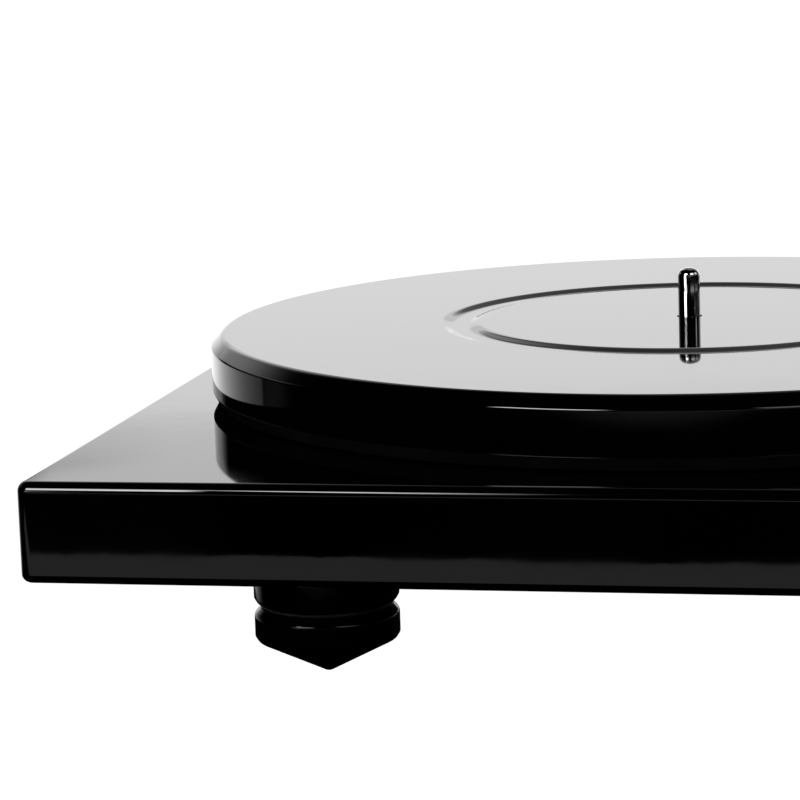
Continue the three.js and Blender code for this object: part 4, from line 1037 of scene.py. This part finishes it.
softbox("softbox_left", 139, 169, 21, 39, 16.0, (1.0, 8.0, 2.0, 3.0))
softbox("softbox_right", 202, 244, 16, 50, 1.8, (3.0, 4.0, 2.0, 6.0))
softbox("strip_right", 255, 289, 14, 44, 0.9, (2.0, 2.0, 2.0, 4.0))
# a broad panel behind on the left: it shows in the deck when seen from the right
softbox("panel_back_left", 38, 82, 11, 32, 0.42, (12.0, 10.0, 5.0, 12.0), 1.7)
# a low light and a small card: their mirror images in the platter are the
# upright lines on the spindle
softbox("panel_side", 69.5, 86, -13, -3, 0.03, (6.5, 9.0, 1.0, 1.0))
softbox("softbox_low", 134, 158, 6.5, 9.9, 9.0, (3.0, 3.0, 0.5, 0.3))
softbox("card_right", 252, 268, 8.8, 12.4, 0.6, (4.0, 4.0, 0.6, 0.6), 0.202, (PX * MM, PY * MM, 0.080))


def flag(name, centre, distance, a0, a1, levels, fade=None, end_levels=None, turn=(0.0, 1.0), fade_out=None):
    """Black card with soft edges that keeps a light off part of the object.
    levels are (height, darkness) pairs; fade and fade_out are the angles over
    which it starts and ends;
    between the two angles of turn the levels pass into end_levels."""
    me = bpy.data.meshes.new(name)
    nx = 60
    verts, dark = [], []
    for i in range(nx + 1):
        a = a0 + (a1 - a0) * i / nx
        d = 1.0 if fade is None else min(1.0, max(0.0, (a - fade[0]) / (fade[1] - fade[0])))
        if fade_out is not None:
            d *= min(1.0, max(0.0, (fade_out[1] - a) / (fade_out[1] - fade_out[0])))
        t = min(1.0, max(0.0, (a - turn[0]) / (turn[1] - turn[0])))
        for (z, k), (z1, k1) in zip(levels, end_levels or levels):
            z, k = z + (z1 - z) * t, k + (k1 - k) * t
            verts.append((centre[0] - distance * math.sin(math.radians(a)), centre[1] + distance * math.cos(math.radians(a)), z))
            dark.append(d * k)
    n = len(levels)
    faces = [(n * i + j, n * i + n + j, n * i + n + j + 1, n * i + j + 1) for i in range(nx) for j in range(n - 1)]
    me.from_pydata(verts, [], faces)
    me.attributes.new("glow", "FLOAT", "POINT").data.foreach_set("value", dark)
    m = bpy.data.materials.new(name)
    m.use_nodes = True
    t = m.node_tree
    t.nodes.clear()
    at = t.nodes.new("ShaderNodeAttribute")
    at.attribute_type, at.attribute_name = "GEOMETRY", "glow"
    clear, black = t.nodes.new("ShaderNodeBsdfTransparent"), t.nodes.new("ShaderNodeEmission")
    black.inputs["Strength"].default_value = 0.0
    mix, out = t.nodes.new("ShaderNodeMixShader"), t.nodes.new("ShaderNodeOutputMaterial")
    t.links.new(at.outputs["Fac"], mix.inputs[0])
    t.links.new(clear.outputs[0], mix.inputs[1])
    t.links.new(black.outputs[0], mix.inputs[2])
    t.links.new(mix.outputs[0], out.inputs[0])
    me.materials.append(m)
    o = bpy.data.objects.new(name, me)
    scene.collection.objects.link(o)
    o.visible_camera = False


# one left of the deck, off the mirror image of the platter's side in the
# plinth; one in front, so that the low light reaches the spindle only
flag("flag_left", (-0.185, -0.085), 0.205, 21, 74, ((0.0880, 0.0), (0.1010, 0.2), (0.1045, 0.3), (0.1095, 0.0)), (22.0, 38.0), ((0.066, 0.0), (0.068, 1.0), (0.1120, 1.0), (0.1175, 0.0)), (34.0, 41.0))
flag("flag_front", (PX * MM, PY * MM), 0.25, 147.6, 179, ((0.0590, 0.0), (0.0605, 1.0), (0.0950, 1.0), (0.0985, 0.0)), (147.8, 149.6), fade_out=(170.5, 178.5))


def painted_floor_glow(name, x0, x1, y0, y1, z, radiance, glow_at):
    """Painted light: a glowing part of the floor, lit by no lamp, that only mirrors see; glow_at takes 0..1 both ways.
    """
    bm = bmesh.new()
    nx = ny = 40
    grid, glow = [], []
    for i in range(nx + 1):
        for j in range(ny + 1):
            u, v = i / nx, j / ny
            grid.append(bm.verts.new((x0 + (x1 - x0) * u, y0 + (y1 - y0) * v, z)))
            glow.append(glow_at(u, v))
    for i in range(nx):
        for j in range(ny):
            k = i * (ny + 1) + j
            bm.faces.new((grid[k], grid[k + ny + 1], grid[k + ny + 2], grid[k + 1]))
    me = bpy.data.meshes.new(name)
    bm.to_mesh(me)
    bm.free()
    me.attributes.new("glow", "FLOAT", "POINT").data.foreach_set("value", glow)
    m = bpy.data.materials.new(name)
    m.use_nodes = True
    t = m.node_tree
    t.nodes.clear()
    at = t.nodes.new("ShaderNodeAttribute")
    at.attribute_type, at.attribute_name = "GEOMETRY", "glow"
    level = t.nodes.new("ShaderNodeMath")
    level.operation = "MULTIPLY"
    level.inputs[1].default_value = radiance
    t.links.new(at.outputs["Fac"], level.inputs[0])
    em = t.nodes.new("ShaderNodeEmission")
    t.links.new(level.outputs[0], em.inputs["Strength"])
    out = t.nodes.new("ShaderNodeOutputMaterial")
    t.links.new(em.outputs[0], out.inputs[0])
    me.materials.append(m)
    o = bpy.data.objects.new(name, me)
    scene.collection.objects.link(o)
    o.visible_camera = o.visible_shadow = False


# painted light on the floor: to the right, for the plinth's right face; far in front, for its face seen from low down
painted_floor_glow("painted_glow_right", 0.245, 1.5, -0.7, 0.7, 0.0003, 0.6, lambda u, v: min(1.0, 25 * u) * (1 - u) * math.sin(math.pi * v) ** 0.5 if v < 1 else 0.0)
painted_floor_glow("painted_glow_front", -1.3, 1.3, -2.6, -0.54, 0.0003, 1.1, lambda u, v: min(1.0, 6 * v) * (1 - v) ** 0.5 * min(1.0, 4 * u) * min(1.0, 4 * (1 - u)))


def make_floor():
    me = bpy.data.meshes.new("floor")
    s = 6.0
    me.from_pydata([(-s, -s, 0), (s, -s, 0), (s, s, 0), (-s, s, 0)], [], [(0, 1, 2, 3)])
    m = bpy.data.materials.new("floor")
    m.use_nodes = True
    t = m.node_tree
    t.nodes.clear()
    em = t.nodes.new("ShaderNodeEmission")
    em.inputs["Strength"].default_value = 1.05
    out = t.nodes.new("ShaderNodeOutputMaterial")
    t.links.new(em.outputs[0], out.inputs[0])
    me.materials.append(m)
    o = bpy.data.objects.new("floor", me)
    scene.collection.objects.link(o)
    o.visible_glossy = o.visible_diffuse = o.visible_shadow = False
    o.visible_transmission = False
    # painted shade: a black sheet standing for the shaded floor under the plinth, which only the feet mirror
    me = bpy.data.meshes.new("floor_shade")
    me.from_pydata([(-0.235, -0.182, 0.0002), (0.235, -0.182, 0.0002), (0.235, 0.19, 0.0002), (-0.235, 0.19, 0.0002)], [], [(0, 1, 2, 3)])
    m = bpy.data.materials.new("floor_shade")
    m.use_nodes = True
    m.node_tree.nodes.clear()
    em = m.node_tree.nodes.new("ShaderNodeEmission")
    em.inputs["Strength"].default_value = 0.0
    out = m.node_tree.nodes.new("ShaderNodeOutputMaterial")
    m.node_tree.links.new(em.outputs[0], out.inputs[0])
    me.materials.append(m)
    o = bpy.data.objects.new("floor_shade", me)
    scene.collection.objects.link(o)
    o.visible_camera = o.visible_shadow = False
    # painted light: a glowing strip of floor in front that the plinth's face mirrors
    bm = bmesh.new()
    nx, ny = 60, 12
    y0, y1 = -172.5 - 100, -172.5 - 190
    grid = [[bm.verts.new(((-420 + 840 * i / nx) * MM, (y0 + (y1 - y0) * j / ny) * MM, 0.0004)) for j in range(ny + 1)] for i in range(nx + 1)]
    for i in range(nx):
        for j in range(ny):
            bm.faces.new((grid[i][j], grid[i][j + 1], grid[i + 1][j + 1], grid[i + 1][j]))
    me = bpy.data.meshes.new("painted_glow_strip")
    bm.to_mesh(me)
    bm.free()
    m = bpy.data.materials.new("painted_glow_strip")
    m.use_nodes = True
    t = m.node_tree
    t.nodes.clear()
    geo, sep = t.nodes.new("ShaderNodeNewGeometry"), t.nodes.new("ShaderNodeSeparateXYZ")
    t.links.new(geo.outputs["Position"], sep.inputs[0])
    wave = t.nodes.new("ShaderNodeTexNoise")
    wave.inputs["Scale"].default_value = 34.0
    wave.inputs["Detail"].default_value = 4.0
    t.links.new(geo.outputs["Position"], wave.inputs["Vector"])
    bend = t.nodes.new("ShaderNodeMath")
    bend.operation = "MULTIPLY_ADD"
    bend.inputs[1].default_value = 0.014
    t.links.new(wave.outputs["Fac"], bend.inputs[0])
    shift = t.nodes.new("ShaderNodeMath")
    shift.operation = "SUBTRACT"
    shift.inputs[1].default_value = 0.007
    t.links.new(sep.outputs[1], shift.inputs[0])
    t.links.new(shift.outputs[0], bend.inputs[2])
    far = t.nodes.new("ShaderNodeMapRange")
    far.interpolation_type = "SMOOTHSTEP"
    for i, v in ((1, -0.3435), (2, -0.3395), (3, 0.0), (4, 0.42)):
        far.inputs[i].default_value = v
    t.links.new(bend.outputs[0], far.inputs[0])
    near = t.nodes.new("ShaderNodeMapRange")
    near.interpolation_type = "SMOOTHSTEP"
    for i, v in ((1, -0.300), (2, -0.280), (3, 1.0), (4, 0.2)):
        near.inputs[i].default_value = v
    t.links.new(sep.outputs[1], near.inputs[0])
    mul = t.nodes.new("ShaderNodeMath")
    mul.operation = "MULTIPLY"
    t.links.new(far.outputs[0], mul.inputs[0])
    t.links.new(near.outputs[0], mul.inputs[1])
    em = t.nodes.new("ShaderNodeEmission")
    t.links.new(mul.outputs[0], em.inputs["Strength"])
    out = t.nodes.new("ShaderNodeOutputMaterial")
    t.links.new(em.outputs[0], out.inputs[0])
    me.materials.append(m)
    o = bpy.data.objects.new("painted_glow_strip", me)
    scene.collection.objects.link(o)
    o.visible_camera = o.visible_shadow = False


make_floor()

# ------------------------------------------------------------------ end
bpy.context.view_layer.update()
